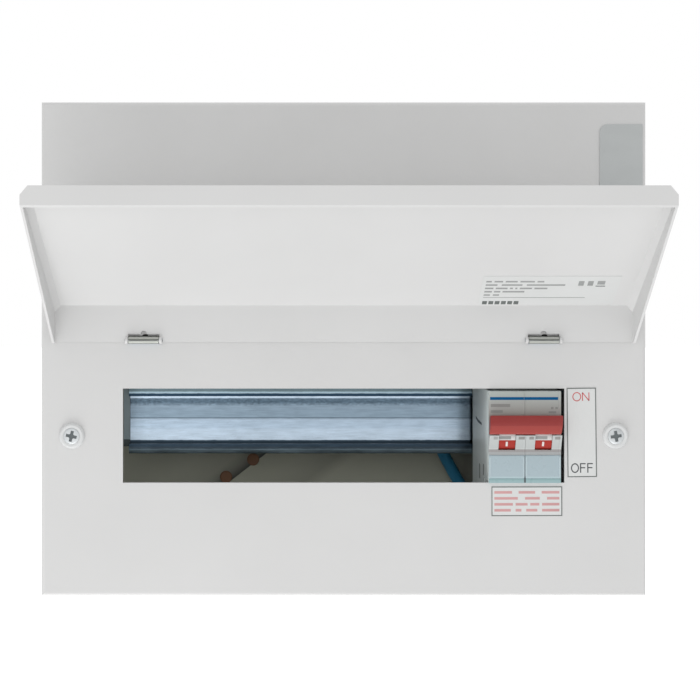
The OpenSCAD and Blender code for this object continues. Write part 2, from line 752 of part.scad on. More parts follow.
// Points on a smooth curve through the route, and the rings of the tube along it
function curve_point(a, b, c, d, t) =
    0.5 * (2 * b + (c - a) * t + (2 * a - 5 * b + 4 * c - d) * t * t + (3 * b - a - 3 * c + d) * t * t * t);
function route_point(r, i) = r[max(0, min(len(r) - 1, i))];
function smooth(r, n) = [
    for (i = [0 : len(r) - 2], k = [0 : n - 1])
        curve_point(route_point(r, i - 1), r[i], r[i + 1], route_point(r, i + 2), k / n),
    r[len(r) - 1]
];
function unit(v) = v / norm(v);
function heading(p, i) = unit(route_point(p, i + 1) - route_point(p, i - 1));
function ring(p, i, r, n) =
    let (d = heading(p, i), s = unit(cross(d, [1, 0.001, 0.2])), t = cross(s, d))
    [for (k = [0 : n - 1]) p[i] + r * (cos(360 * k / n) * s + sin(360 * k / n) * t)];
module tube(path, r, n) {
    last = len(path) - 1;
    points = [for (i = [0 : last]) each ring(path, i, r, n)];
    faces = [
        [for (k = [0 : n - 1]) k],
        [for (k = [n - 1 : -1 : 0]) last * n + k],
        for (i = [0 : last - 1], k = [0 : n - 1])
            [i * n + k, (i + 1) * n + k, (i + 1) * n + (k + 1) % n, i * n + (k + 1) % n]
    ];
    polyhedron(points, faces);
}

module link_cable() {
    color([0.05, 0.45, 0.7])
        tube([for (p = smooth(link_route, cable_steps)) [p[0], -p[1], p[2]]], cable_r, cable_sides);
}

// The bare ends of the link cable, in the switch's terminal and in the neutral bar
module link_cable_cores() {
    color(copper) {
        rod_z(link_start[0], link_start[1], core_r, link_start[2], rail_z - term_z + cage_h / 2);
        rod_z(link_end[0], link_end[1], core_r, link_end[2], neutral_z + bar_size / 2 + 2);
    }
}

module rear_plugs() {
    color([0.55, 0.35, 0.2]) for (p = plug_places) {
        rod_f(p[0], p[1], plug_r, sheet, sheet + plug_h);
        rod_f(p[0], p[1], plug_r - 1 - fit, 0, sheet + plug_h);
    }
}

function pole_x(side) = switch_x + (side == LEFT ? 0 : pole_w);
function pole_mid(side) = pole_x(side) + pole_w / 2;

// The side view of a pole in [f, height from the rail's middle], with its seat on the rail
module pole_outline() {
    h = switch_h / 2;
    n = nose_h / 2;
    r = rail_h / 2 + seat;
    lip = rail_f - rail_t - seat;
    hook = rail_h / 2 - lip_hook;
    polygon([
        [back_f, -h], [shoulder_f, -h], [shoulder_f, -n - nose_drop], [nose_f, -n - nose_drop],
        [nose_f, -slot_h / 2], [nose_f + hood_out, hood_z], [nose_f, hood_z],
        [nose_f, n - nose_drop], [shoulder_f, n - nose_drop],
        [shoulder_f, h], [back_f, h], [back_f, hook], [lip, hook], [lip, r], [rail_f + seat, r],
        [rail_f + seat, -r], [back_f, -r]
    ]);
}

// The rail clip's channel, from behind f0, the rivet holes and the label window's seat
module pole_cuts(side, f0) {
    mid = pole_mid(side);
    block(switch_x + pole_w, clip_w + 2 * clip_play, f0, clip_f + clip_t + clip_play,
        rail_z - switch_h / 2 - over, rail_z - rail_h / 2);
    for (z = rivet_z, s = SIDES)
        rod_x(mid, rail_f + rivet_back, rail_z + s * z, rivet_r + fit, pole_w + 2 * over);
    block(mid, pole_w + 2 * over, nose_f - window_t, nose_f + over,
        rail_z + window_z0 - over, rail_z + window_z1);
}

// The axle's hole through both poles, blind in their outer faces
module axle_hole() { rod_x(switch_x + pole_w, axle_f, rail_z, axle_r + fit, axle_l + 0.8); }

module pole_case(side) {
    x0 = pole_x(side);
    mid = pole_mid(side);
    inner = x0 + pole_gap / 2 + case_wall;
    slab = chamber_w + over;
    cx = inner + slab / 2;
    color(case_grey) difference() {
        across(x0 + pole_gap / 2 + case_w / 2, case_w) translate([0, rail_z]) pole_outline();
        pole_cuts(side, clip_f - clip_play);
        block(cx, slab, chamber_back, chamber_front, rail_z - chamber_h / 2, rail_z + chamber_h / 2);
        block(mid, slot_w, chamber_front - over, nose_f + hood_out + over,
            rail_z - slot_h / 2, rail_z + slot_h / 2);
        axle_hole();
        for (s = SIDES) {
            block(cx, slab, term_back, term_front, rail_z + min(s * term_z0, s * term_z1),
                rail_z + max(s * term_z0, s * term_z1));
            block(cx, slab, strap_f - 0.3, strap_f + copper_t + 0.3, rail_z + min(0, s * term_z1),
                rail_z + max(0, s * term_z1));
            rod_f(mid, rail_z + s * term_z, term_head_r + 0.4, term_front - over, shoulder_f + over);
            rod_z(mid, core_f, cable_r + 0.6, rail_z + min(s * term_z, s * (switch_h / 2 + over)),
                rail_z + max(s * term_z, s * (switch_h / 2 + over)));
        }
        block(x0, 2 * (case_wall + over), rail_f + side_slot_back, rail_f + side_slot_back + side_slot[0],
            rail_z + side_slot_rise - side_slot[1] / 2, rail_z + side_slot_rise + side_slot[1] / 2);
    }
}

module pole_cheek(side) {
    x = pole_x(side) + pole_w - pole_gap / 2 - cheek_t / 2;
    color(case_grey) difference() {
        across(x, cheek_t) translate([0, rail_z]) pole_outline();
        pole_cuts(side, side == LEFT ? back_f - over : clip_f - clip_play);
        axle_hole();
    }
}

module case_rivets() {
    color(steel) for (z = rivet_z, s = SIDES)
        rod_x(switch_x + pole_w, rail_f + rivet_back, rail_z + s * z, rivet_r, 2 * pole_w - pole_gap);
}

module label_window(side) {
    color([0.71, 0.78, 0.8])
        block(pole_mid(side), pole_w - pole_gap - 2 * window_play, nose_f - window_t, nose_f + window_proud,
            rail_z + window_z0, rail_z + window_z1 - window_play);
}

module terminal_cages(side) {
    x = pole_mid(side);
    color(zinc) for (s = SIDES) difference() {
        z = rail_z + s * term_z;
        block(x, cage_w, cage_f, cage_f + cage_d, z - cage_h / 2, z + cage_h / 2);
        block(x, cage_hole_w, cage_f + cage_wall, cage_f + cage_d - 2 * cage_wall, z - cage_h, z + cage_h);
        rod_f(x, z, term_screw_r + fit, cage_f + cage_d / 2, cage_f + cage_d + over);
    }
}

module terminal_screws() {
    color(steel) for (side = SIDES, s = SIDES) difference() {
        x = pole_mid(side);
        z = rail_z + s * term_z;
        head = term_tip_f + term_screw_l;
        union() {
            rod_f(x, z, term_screw_r, term_tip_f, head);
            rod_f(x, z, term_head_r, head - term_head_h, head);
        }
        driver_cross(x, z, head, 1.5 * term_head_r, 1, 0.5 * term_head_h);
    }
}

// The upper and the lower fixed contact of a pole: a copper strap from the cage to its silver tip
module fixed_contacts(side) {
    x = pole_mid(side);
    color(copper) for (s = SIDES) {
        z0 = rail_z + s * (tip_z - tip_r);
        z1 = rail_z + s * (term_z1 - 0.4);
        block(x, copper_w, strap_f, strap_f + copper_t, min(z0, z1), max(z0, z1));
        rod_f(x, rail_z + s * tip_z, tip_r, strap_f + copper_t - over, strap_f + copper_t + tip_t);
    }
}

module contact_bridge(side) {
    x = pole_mid(side);
    color(copper) {
        block(x, copper_w, bridge_f, bridge_f + copper_t, rail_z - bridge_h / 2, rail_z + bridge_h / 2);
        for (s = SIDES) rod_f(x, rail_z + s * tip_z, tip_r, bridge_f - tip_t, bridge_f + over);
    }
}

module contact_carriage(side) {
    mid = pole_x(side) + pole_gap / 2 + case_wall + chamber_w / 2;
    color([0.2, 0.2, 0.22])
        block(mid, carriage_w, carriage_f, carriage_f + carriage_d,
            rail_z - carriage_h / 2, rail_z + carriage_h / 2);
}

// The clip behind the switch that holds its lower edge to the rail
module rail_clip() {
    x = switch_x + pole_w;
    tail_z = rail_z - switch_h / 2 - clip_tail;
    color([0.9, 0.9, 0.88]) difference() {
        block(x, clip_w, clip_f, clip_f + clip_t, tail_z, rail_z + clip_nose_z);
        block(x, clip_slot[0], clip_f - over, clip_f + clip_t + over, tail_z + 1, tail_z + 1 + clip_slot[1]);
    }
}

// Puts a drawing in [distance from the axle, height] at the toggle's angle
module toggle_outline() { translate([axle_f, rail_z]) rotate(toggle_on) children(); }

module toggle_bar() {
    h = bar_h / 2;
    color([0.69, 0.25, 0.24])
        across(switch_x + pole_w, 2 * pole_w - 2 * pole_gap) toggle_outline() polygon([
            [bar_in, -h - 0.1], [bar_in + 0.45 * bar_d, -h], [bar_in + bar_d, -0.4 * h],
            [bar_in + 0.75 * bar_d, h], [bar_in, h - 0.2]
        ]);
}

module toggle_drum(side) {
    x = pole_mid(side);
    color([0.75, 0.22, 0.2]) difference() {
        union() {
            rod_x(x, axle_f, rail_z, drum_r, drum_w);
            across(x, drum_w - 1.6) toggle_outline()
                translate([drum_r / 2, -arm_t / 2]) square([bar_in - drum_r / 2, arm_t]);
        }
        rod_x(x, axle_f, rail_z, axle_r + fit / 2, drum_w + 2 * over);
    }
}

module toggle_axle() {
    color(steel) rod_x(switch_x + pole_w, axle_f, rail_z, axle_r, axle_l);
}

base_tray();
front_cover();
cover_bracket(LEFT);  // cover_bracket_left
cover_bracket(RIGHT);  // cover_bracket_right
cover_screws();
cover_screw_cups();
badge_plate();
on_off_label();
ruled_label();
hinge(LEFT);  // hinge_left
hinge(RIGHT);  // hinge_right
hinge_pins();
lid();
lid_label();
din_rail();
rail_support(LEFT);  // rail_support_left
rail_support(RIGHT);  // rail_support_right
neutral_bar();
neutral_bar_screws();
neutral_bar_carrier();
earth_bar();
earth_bar_screws();
earth_bar_carrier();
bar_fixing_screws();
carrier_rivets();
link_cable();
link_cable_cores();
rear_plugs();
pole_case(LEFT);  // pole_case_left
pole_case(RIGHT);  // pole_case_right
pole_cheek(LEFT);  // pole_cheek_left
pole_cheek(RIGHT);  // pole_cheek_right
case_rivets();
label_window(LEFT);  // label_window_left
label_window(RIGHT);  // label_window_right
terminal_cages(LEFT);  // terminal_cages_left
terminal_cages(RIGHT);  // terminal_cages_right
terminal_screws();
fixed_contacts(LEFT);  // fixed_contacts_left
fixed_contacts(RIGHT);  // fixed_contacts_right
rail_clip();
toggle_bar();
toggle_drum(LEFT);  // toggle_drum_left
toggle_drum(RIGHT);  // toggle_drum_right
toggle_axle();
contact_carriage(LEFT);  // contact_carriage_left
contact_carriage(RIGHT);  // contact_carriage_right
contact_bridge(LEFT);  // contact_bridge_left
contact_bridge(RIGHT);  // contact_bridge_right
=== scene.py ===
# Looks of the wall-mounted breaker panel box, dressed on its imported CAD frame.
# Metres: +X is to the viewer's right, -Y comes out of the wall and Z is up.
# In outlines, f is the distance from the wall: f = -y.

import json
import math

import bmesh
import bpy
from mathutils import Matrix, Vector
from mathutils.bvhtree import BVHTree


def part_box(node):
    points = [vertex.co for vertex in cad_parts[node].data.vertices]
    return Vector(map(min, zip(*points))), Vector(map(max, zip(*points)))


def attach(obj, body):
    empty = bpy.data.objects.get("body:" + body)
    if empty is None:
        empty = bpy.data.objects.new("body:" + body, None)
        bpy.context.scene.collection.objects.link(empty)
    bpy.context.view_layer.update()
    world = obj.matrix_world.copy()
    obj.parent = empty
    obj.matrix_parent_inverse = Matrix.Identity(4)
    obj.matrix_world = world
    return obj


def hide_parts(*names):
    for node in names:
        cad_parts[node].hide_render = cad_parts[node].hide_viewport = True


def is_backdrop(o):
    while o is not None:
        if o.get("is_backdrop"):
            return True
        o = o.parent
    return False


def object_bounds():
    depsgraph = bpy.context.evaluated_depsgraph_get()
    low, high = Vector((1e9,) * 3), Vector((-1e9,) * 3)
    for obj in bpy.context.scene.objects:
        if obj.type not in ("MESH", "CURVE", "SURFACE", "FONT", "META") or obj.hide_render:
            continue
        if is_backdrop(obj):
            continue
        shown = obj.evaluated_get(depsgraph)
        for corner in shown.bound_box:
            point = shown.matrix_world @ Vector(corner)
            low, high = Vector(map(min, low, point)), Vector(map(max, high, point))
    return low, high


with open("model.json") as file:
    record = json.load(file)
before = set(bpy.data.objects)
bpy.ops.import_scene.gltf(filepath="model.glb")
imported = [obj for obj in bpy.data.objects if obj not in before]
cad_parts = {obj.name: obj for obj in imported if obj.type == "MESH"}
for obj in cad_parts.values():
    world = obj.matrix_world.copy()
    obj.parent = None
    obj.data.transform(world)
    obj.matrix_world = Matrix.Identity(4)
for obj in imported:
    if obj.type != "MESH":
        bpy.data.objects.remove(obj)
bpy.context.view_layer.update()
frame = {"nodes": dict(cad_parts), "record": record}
nodes = frame["nodes"]

MM = 0.001
OUT = Vector((0, -1, 0))  # out of the wall


def put(name, data):
    """A new object of this data, in the scene."""
    o = bpy.data.objects.new(name, data)
    bpy.context.scene.collection.objects.link(o)
    return o


def spread(a, b, steps):
    """Values from a to b in equal steps."""
    return [a + (b - a) * i / steps for i in range(steps + 1)]


def middle(node):
    """The middle of a node's box in [f, z], and half its height."""
    low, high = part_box(node)
    return (-(low[1] + high[1]) / 2, (low[2] + high[2]) / 2), (high[2] - low[2]) / 2


# --- camera and image points
IMAGE = 700
CAMERA_AT = Vector((-0.0201, -0.847, 0.0626))
LENS = 79.36
SENSOR = 36.0
SHIFT_X = 0.0682
SHIFT_Y = -0.1854

POINTS = {
    "lid_left": (20.4, None),
    "lid_right": (678.5, None),
    "cover_top": (None, 102.6),
    "cover_bottom": (None, 594.8),
    "screw_left": (72.2, 434.7),
    "screw_right": (616.1, 433.8),
    "hinge_left": (146.1, 338.2),
    "hinge_right": (544.6, 338.2),
    "state_label": (581.7, 432.4),
    "on_word": (580.9, 396.7),
    "off_word": (582.2, 468.0),
    "ruled_label": (526.8, 501.2),
    "lid_label": (544.9, 288.4),
    "stripe": (507.05, 398.5),
    "rating_rows": (500.5, 408.5),
    "hood_rows": (495.7, 438.1),
    "toggle": (526.1, 425.2),
    "mark": (506.7, 443.9),
    "plug_low": (226.0, 476.0),
    "plug_high": (253.0, 458.5),
}

camera = put("camera", bpy.data.cameras.new("camera"))
bpy.context.scene.camera = camera
camera.location = CAMERA_AT
camera.rotation_euler = (math.radians(90), 0, 0)
camera.data.sensor_fit = "AUTO"
camera.data.sensor_width = SENSOR
camera.data.lens = LENS
camera.data.shift_x = SHIFT_X
camera.data.shift_y = SHIFT_Y
camera.data.clip_start = 0.05
camera.data.clip_end = 50
CAMERA_AXES = Matrix.Rotation(math.radians(90), 3, "X")
MISS_REACH = 0.6, 0.996, 99  # places along a ray that misses, for the nearest surface


def image_ray(x, y):
    """Direction, in the row frame, of the ray through an image point."""
    local = x - IMAGE / 2 + SHIFT_X * IMAGE, IMAGE / 2 - y + SHIFT_Y * IMAGE, -IMAGE * LENS / SENSOR
    return (CAMERA_AXES @ Vector(local)).normalized()


def in_image(p):
    """Where a point of the row frame shows in the image."""
    local = CAMERA_AXES.transposed() @ (Vector(p) - CAMERA_AT)
    scale = IMAGE * LENS / SENSOR / -local.z
    return (local.x * scale + IMAGE / 2 - SHIFT_X * IMAGE, IMAGE / 2 + SHIFT_Y * IMAGE - local.y * scale)


def tree_of(objects):
    """BVH of the finished meshes of these objects, in the row frame."""
    depsgraph = bpy.context.evaluated_depsgraph_get()
    verts, faces = [], []
    for o in objects:
        e = o.evaluated_get(depsgraph)
        mesh = e.to_mesh()
        start = len(verts)
        verts += [e.matrix_world @ v.co for v in mesh.vertices]
        faces += [[start + i for i in p.vertices] for p in mesh.polygons]
        e.to_mesh_clear()
    return BVHTree.FromPolygons(verts, faces)


def on_surface(point, carriers):
    """Place and outward normal on the carriers' surface that shows at a named image point."""
    tree = tree_of(carriers)
    ray = image_ray(*POINTS[point])
    spot, normal, _, _ = tree.ray_cast(CAMERA_AT, ray)
    if spot is None:
        nearest = (tree.find_nearest(CAMERA_AT + ray * reach) for reach in spread(*MISS_REACH))
        spot, normal, _, _ = min(nearest, key=lambda near: near[3])
    return spot, normal if normal.dot(ray) < 0 else -normal


# --- nodes of materials and modifiers
def feed(socket, value):
    """Links an output to an input, or sets the input to a value; a tuple is a colour."""
    if isinstance(value, bpy.types.NodeSocket):
        socket.id_data.links.new(value, socket)
    else:
        socket.default_value = (*value, 1) if isinstance(value, tuple) else value


def new_node(owner, kind, **inputs):
    """A new node in a tree or a socket's tree, with its inputs fed; their names have _ for spaces."""
    node = owner.id_data.nodes.new(kind)
    for name, value in inputs.items():
        feed(node.inputs[name.replace("_", " ")], value)
    return node


def principled(name, color, rough, metal=0.0, **sockets):
    """A node material; gives it with its Principled node and object coordinates."""
    mat = bpy.data.materials.new(name)
    mat.use_nodes = True
    shader = mat.node_tree.nodes["Principled BSDF"]
    shader.inputs["Base Color"].default_value = (*color, 1)
    shader.inputs["Roughness"].default_value = rough
    shader.inputs["Metallic"].default_value = metal
    for socket, value in sockets.items():
        shader.inputs[socket.replace("_", " ")].default_value = value
    return mat, shader, mat.node_tree.nodes.new("ShaderNodeTexCoord").outputs["Object"]


def noise(coords, size, detail=2.0, stretch=(1, 1, 1), rough=0.5):
    """Noise with grains about size across; stretch lengthens them along an axis."""
    scaled = new_node(coords, "ShaderNodeMapping", Vector=coords, Scale=[1 / s for s in stretch])
    return new_node(coords, "ShaderNodeTexNoise", Vector=scaled.outputs["Vector"], Scale=1 / size, Detail=detail,
                    Roughness=rough).outputs["Fac"]


def remap(value, low, high, from_low=0.3, from_high=0.7):
    """The value's middle range spread over low to high."""
    return new_node(value, "ShaderNodeMapRange", Value=value, From_Min=from_low, From_Max=from_high, To_Min=low,
                    To_Max=high).outputs["Result"]


MIX_INPUTS, MIX_OUTPUT = (0, 6, 7), 2  # a colour Mix's factor and colours; their names repeat


def blend_color(factor, a, b):
    """Colour a where the factor is 0 and b where it is 1; each may be another colour output."""
    node = new_node(factor, "ShaderNodeMix")
    node.data_type = "RGBA"
    for i, value in zip(MIX_INPUTS, (factor, a, b)):
        feed(node.inputs[i], value)
    return node.outputs[MIX_OUTPUT]


def bump(shader, height, depth, strength=1.0):
    """Relief of that depth in metres; several calls add up."""
    node = new_node(height, "ShaderNodeBump", Strength=strength, Distance=depth, Height=height)
    normal = shader.inputs["Normal"]
    if normal.is_linked:
        feed(node.inputs["Normal"], normal.links[0].from_socket)
    feed(normal, node.outputs["Normal"])


def surface(mat, shader, coords, color, rough, *reliefs):
    """Gives a look its colour, roughness (low, high, noise) and reliefs (noise, depth, strength)."""
    feed(shader.inputs["Base Color"], color)
    low, high, *grain = rough
    feed(shader.inputs["Roughness"], remap(noise(coords, *grain), low, high))
    for *grain, depth, strength in reliefs:
        bump(shader, noise(coords, *grain), depth, strength)
    return mat


def shade(color, factor):
    return tuple(c * factor for c in color)


def toned(color, factor):
    """A colour output times a value."""
    node = new_node(color, "ShaderNodeVectorMath")
    node.operation = "SCALE"
    feed(node.inputs[0], color)
    feed(node.inputs["Scale"], factor)
    return node.outputs[0]


def along(coords, axis):
    """One of the object's own coordinates, in metres."""
    return new_node(coords, "ShaderNodeSeparateXYZ", Vector=coords).outputs[axis]


def maths(kind, value, *others):
    node = new_node(value, "ShaderNodeMath")
    node.operation = kind
    for socket, operand in zip(node.inputs, (value, *others)):
        feed(socket, operand)
    return node.outputs[0]


def product(value, *factors):
    for factor in factors:
        value = maths("MULTIPLY", value, factor)
    return value


def ramp(value, stops, middle=0.0, reach=None):
    """Colours along a length, over reach on both sides of its middle; a stop is the places, in millimetres from
    the middle, that have one colour, and the colour."""
    stops = [(place, color) for *places, color in stops for place in places]
    low, high = (middle - reach, middle + reach) if reach else (middle + stops[i][0] * MM for i in (0, -1))
    node = new_node(value, "ShaderNodeValToRGB", Fac=remap(value, 0, 1, low, high))
    points = node.color_ramp.elements
    while len(points) < len(stops):
        points.new(0.5)
    for element, (place, color) in zip(points, stops):
        element.position = (middle + place * MM - low) / (high - low)
        element.color = (*color, 1)
    return node.outputs["Color"]


# --- materials
COVER = (0.63, 0.63, 0.627)
DEEP = (0.57, 0.58, 0.48)  # the same paint inside the box, darker and greener: painted shade of the interior
DEEP_REACH = 0.03  # distance from the wall within which it shows
DEEP_END = 0.085, 0.095  # x where it ends, behind the switch
HALF_SHEET = 0.0006
WEDGE = ((-67.0, -86.4), (-34.2, -60.8), (6.8, -61.5), (-22.1, -85.5))  # pressed wedge: x and z in millimetres
WEDGE_N = (0.613, 0.790)  # across its sharp edge
WEDGE_SHADOW = (  # painted shadow at the wedge's sharp edge and painted shade across the wedge: distance from that edge in millimetres, and tone
    (-40, 1), (-22, 0.97), (-9, 0.78), (-4.5, 0.5), (-0.3, 0.13), (0, 1), (12, 0.92), (25, 0.76), (31, 40, 1),
)
WEDGE_SHADOW_TOP = -0.056  # the painted shadow and shade show below this height only
SHADOW_X, SHADOW, SHADOW_TONE = (0.060, 0.069), 0.55, 0.1  # darkness next to the switch: place, share and tone

tray_low, tray_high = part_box("base_tray")
rail_low, rail_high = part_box("din_rail")
rail_z = middle("din_rail")[0][1]
pin, pin_r = middle("hinge_pins")
WINDOW_PROUD = 0.0002  # how far the label covers stand out from the nose, as in part.scad
nose_f = -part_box("label_window_left")[0][1] - WINDOW_PROUD

# Bands: height above the middle of the rail, or of the hinge pin, in millimetres, and colour
RAIL_REACH, NOSE_REACH = 0.018, 0.0222
# The rail's bands are painted reflection and shade on its lips, web and channel.
RAIL_BANDS = (
    (-17.6, (0.145, 0.2, 0.225)), (-15.6, (0.16, 0.215, 0.25)), (-15.2, (0.21, 0.29, 0.345)),
    (-14.9, -14.2, (0.05, 0.068, 0.085)), (-13.8, (0.03, 0.048, 0.068)), (-11.5, (0.033, 0.052, 0.07)),
    (-11.2, (0.38, 0.46, 0.54)), (-6.0, (0.365, 0.445, 0.53)), (-4.6, (0.315, 0.395, 0.48)),
    (0.0, (0.3, 0.375, 0.455)), (0.15, (0.187, 0.25, 0.308)), (6.6, (0.187, 0.246, 0.304)),
    (8.6, (0.075, 0.112, 0.148)), (10.5, (0.09, 0.13, 0.17)), (11.0, 11.6, (0.42, 0.51, 0.61)),
    (11.9, 13.8, (0.02, 0.04, 0.065)), (14.1, 14.7, (0.25, 0.335, 0.39)), (15.1, 17.6, (0.1, 0.138, 0.154)),
)
RAG = 0.0001  # how far a band's edge wanders
REFLECTION_BAND_Z, REFLECTION_BAND_H = 0.0087, 0.0019  # middle and half height of the mottled band of painted reflection over the rail's middle
RAIL_FADE = (  # x in millimetres along the rail, and tone: painted shade at its left end with painted light just inside it, the switch's painted reflection and the painted shade of the gap in front of it
    (-120, 0.7), (-112, 0.78), (-107, 1.02), (-102, -78, 1.12), (-45, 50, 1), (61, 0.88), (64, 0.74), (68.4, 0.78),
    (68.8, 70.6, 0.1), (71, 120, 1),
)
NOSE_BANDS = (  # the switch's flat front; the darkening down to the toggle bar from above is painted shade cast by the bar
    (-22.0, -7.9, (0.355, 0.37, 0.375)), (-7.6, (0.285, 0.275, 0.275)), (-6.0, (0.3, 0.29, 0.29)),
    (8.0, (0.25, 0.235, 0.22)), (11.0, (0.3, 0.285, 0.265)), (16.5, (0.355, 0.365, 0.35)),
    (18.0, (0.38, 0.41, 0.39)), (22.0, (0.39, 0.42, 0.4)),
)
COVER_BANDS = (  # the label covers
    (-22.2, (0.29, 0.43, 0.45)), (-21.3, (0.26, 0.4, 0.41)), (-20.8, (0.21, 0.34, 0.35)),
    (-20.6, -19.9, (0.41, 0.53, 0.56)), (-19.5, -9.0, (0.365, 0.455, 0.495)),
)
ROLL_BANDS = (  # the hinge rolls: painted highlights and shade round the roll, darkest along its seam
    (-2.0, (0.3, 0.31, 0.285)), (-1.35, (0.31, 0.32, 0.295)), (-1.15, (0.4, 0.415, 0.385)),
    (-0.25, (0.42, 0.435, 0.405)), (-0.1, 0.55, (0.12, 0.13, 0.115)), (0.75, (0.44, 0.45, 0.42)),
    (2.0, (0.46, 0.47, 0.44)),
)
RED_BANDS = (  # the toggle bar, in the ON position: lighter below its ridge and darker above it, painted light and shade on its two faces
    (0, (0.345, 0.04, 0.031)), (5.6, (0.365, 0.044, 0.035)), (5.9, (0.305, 0.027, 0.024)),
    (14, (0.3, 0.026, 0.023)),
)
# the hood's tone: a darker copy of the moulding's colour set against the low lamp that lights it, painted shade
CASE_HOOD = (0.46, 0.485, 0.48)
HOOD_PROUD, FRONT_NEAR = 0.0003, 0.00025  # hood: further out than the nose's front; front: this near to it


def tray_inside(coords):
    """How much of the painted shade inside the box a place of the tray has: none on its outer faces."""
    y = along(coords, "Y")
    part = product(remap(y, 0, 1, -DEEP_REACH, 0), maths("LESS_THAN", y, -HALF_SHEET),
                   remap(along(coords, "X"), 1, 0, *DEEP_END))
    for axis, low, high in (("X", tray_low[0], tray_high[0]), ("Z", tray_low[2], tray_high[2])):
        place = along(coords, axis)
        part = product(part, maths("LESS_THAN", place, high - HALF_SHEET),
                       maths("GREATER_THAN", place, low + HALF_SHEET))
    return part


def pressed(coords):
    """The painted shade inside the box, with a painted shadow at the wedge's sharp edge and across the wedge, and
    painted shade next to the switch.
    """
    x, z = along(coords, "X"), along(coords, "Z")
    parts = (product(maths("SUBTRACT", place, start * MM), n) for place, start, n in zip((x, z), WEDGE[0], WEDGE_N))
    across = maths("SUBTRACT", *parts)
    tone = ramp(across, [(*places, shade(DEEP, factor)) for *places, factor in WEDGE_SHADOW])
    tone = blend_color(remap(x, 0, SHADOW, *SHADOW_X), tone, shade(DEEP, SHADOW_TONE))
    return blend_color(maths("LESS_THAN", z, WEDGE_SHADOW_TOP), DEEP, tone)


def powder_coat(name, color, tray=False):
    """Satin powder coat: faint cloudiness and fine orange peel; the tray's has the painted shade inside the box too.
    """
    look = _, _, coords = principled(name, color, 0.42, Specular_IOR_Level=0.42)
    base = blend_color(remap(noise(coords, 0.05, 3), 0, 1), shade(color, 0.985), shade(color, 1.012))
    if tray:
        base = blend_color(tray_inside(coords), base, pressed(coords))
    return surface(*look, base, (0.38, 0.47, 0.02), (0.0016, 1, 0.00003, 0.5), (0.012, 1, 0.00008, 0.35))


def plated(name, color, rough, stretch=(1, 1, 1), cloud=0.16):
    """Zinc plate or bare metal: cloudy passivation, rolling lines along one axis, small specks."""
    look = _, _, coords = principled(name, color, rough, 1.0)
    clouds = remap(noise(coords, 0.006, 4, stretch, 0.6), 0, 1)
    base = blend_color(clouds, shade(color, 1 - cloud), shade(color, 1 + cloud / 2))
    specks = remap(noise(coords, 0.0009, 2), 0, 1, 0.62, 0.72)
    return surface(*look, blend_color(specks, base, shade(color, 0.72)),
                   (rough - 0.08, rough + 0.12, 0.002, 3, stretch), (0.0008, 2, stretch, 0.00004, 0.5))


def moulded(name, color, rough, grain=0.0005, spread=0.02, coat=0.0, spec=0.5):
    """Injection-moulded plastic: fine spark-eroded grain and slight flow marks."""
    look = _, _, coords = principled(
        name, color, rough, Coat_Weight=coat, Coat_Roughness=0.12, Specular_IOR_Level=spec)
    flow = remap(noise(coords, 0.009, 2, (3, 1, 1)), 0, 1)
    return surface(*look, blend_color(flow, shade(color, 1 - spread), shade(color, 1 + spread)),
                   (rough - 0.05, rough + 0.05, 0.003), (grain, 1, 0.00002, 0.6))


def rolled_zinc(name, rough):
    """The rail's zinc: bands of painted reflection and shade with ragged edges across its width, painted light and
    reflection along it, rolling lines and specks.
    """
    look = _, _, coords = principled(name, RAIL_BANDS[0][-1], rough, 1.0)
    height = maths("ADD", along(coords, "Z"), remap(noise(coords, 0.0016, 3, (2, 1, 1)), -RAG, RAG))
    lines = remap(noise(coords, 0.0007, 3, (14, 1, 1)), 0.9, 1.06)
    specks = remap(noise(coords, 0.0008, 2), 1, 0.8, 0.64, 0.74)
    mottle = remap(noise(coords, 0.0022, 3, (2, 1, 1)), 0.95, 1.04)
    band_reflection = remap(noise(coords, 0.0011, 4, (1.6, 1, 1), 0.65), 0.62, 1.3)
    in_band = maths("COMPARE", height, rail_z + REFLECTION_BAND_Z, REFLECTION_BAND_H)
    band_reflection = maths("ADD", product(maths("SUBTRACT", band_reflection, 1), in_band), 1)
    fade = ramp(along(coords, "X"), [(*places, (tone,) * 3) for *places, tone in RAIL_FADE])
    base = ramp(height, RAIL_BANDS, rail_z, RAIL_REACH)
    return surface(*look, toned(base, product(product(lines, specks), product(mottle, band_reflection, fade))),
                   (rough - 0.03, rough + 0.05, 0.003, 3, (4, 1, 1)), (0.0009, 2, (6, 1, 1), 0.000006, 0.4))


def banded(name, rough, coat, middle, bands, metal=0.0):
    """Smooth plastic or metal whose tone changes with height."""
    look = _, _, coords = principled(name, bands[-1][-1], rough, metal, Coat_Weight=coat, Coat_Roughness=0.12)
    return surface(*look, ramp(along(coords, "Z"), bands, middle), (rough - 0.05, rough + 0.05, 0.003),
                   (0.0006, 1, 0.00002, 0.6))


def case_plastic(name, color):
    """The switch's moulding, with a greyer flat front that has painted shade above the toggle bar, and a hood that
    stands out from it in a darker copy of the moulding's colour, painted shade.
    """
    look = _, _, coords = principled(name, color, 0.42)
    proud = maths("SUBTRACT", product(along(coords, "Y"), -1), nose_f)
    base = blend_color(maths("GREATER_THAN", proud, HOOD_PROUD), color, CASE_HOOD)
    front = ramp(along(coords, "Z"), NOSE_BANDS, rail_z, NOSE_REACH)
    base = blend_color(maths("LESS_THAN", maths("ABSOLUTE", proud), FRONT_NEAR), base, front)
    flow = remap(noise(coords, 0.009, 2, (3, 1, 1)), 0.985, 1.015)
    return surface(*look, toned(base, flow), (0.38, 0.48, 0.003), (0.0005, 1, 0.00002, 0.6))


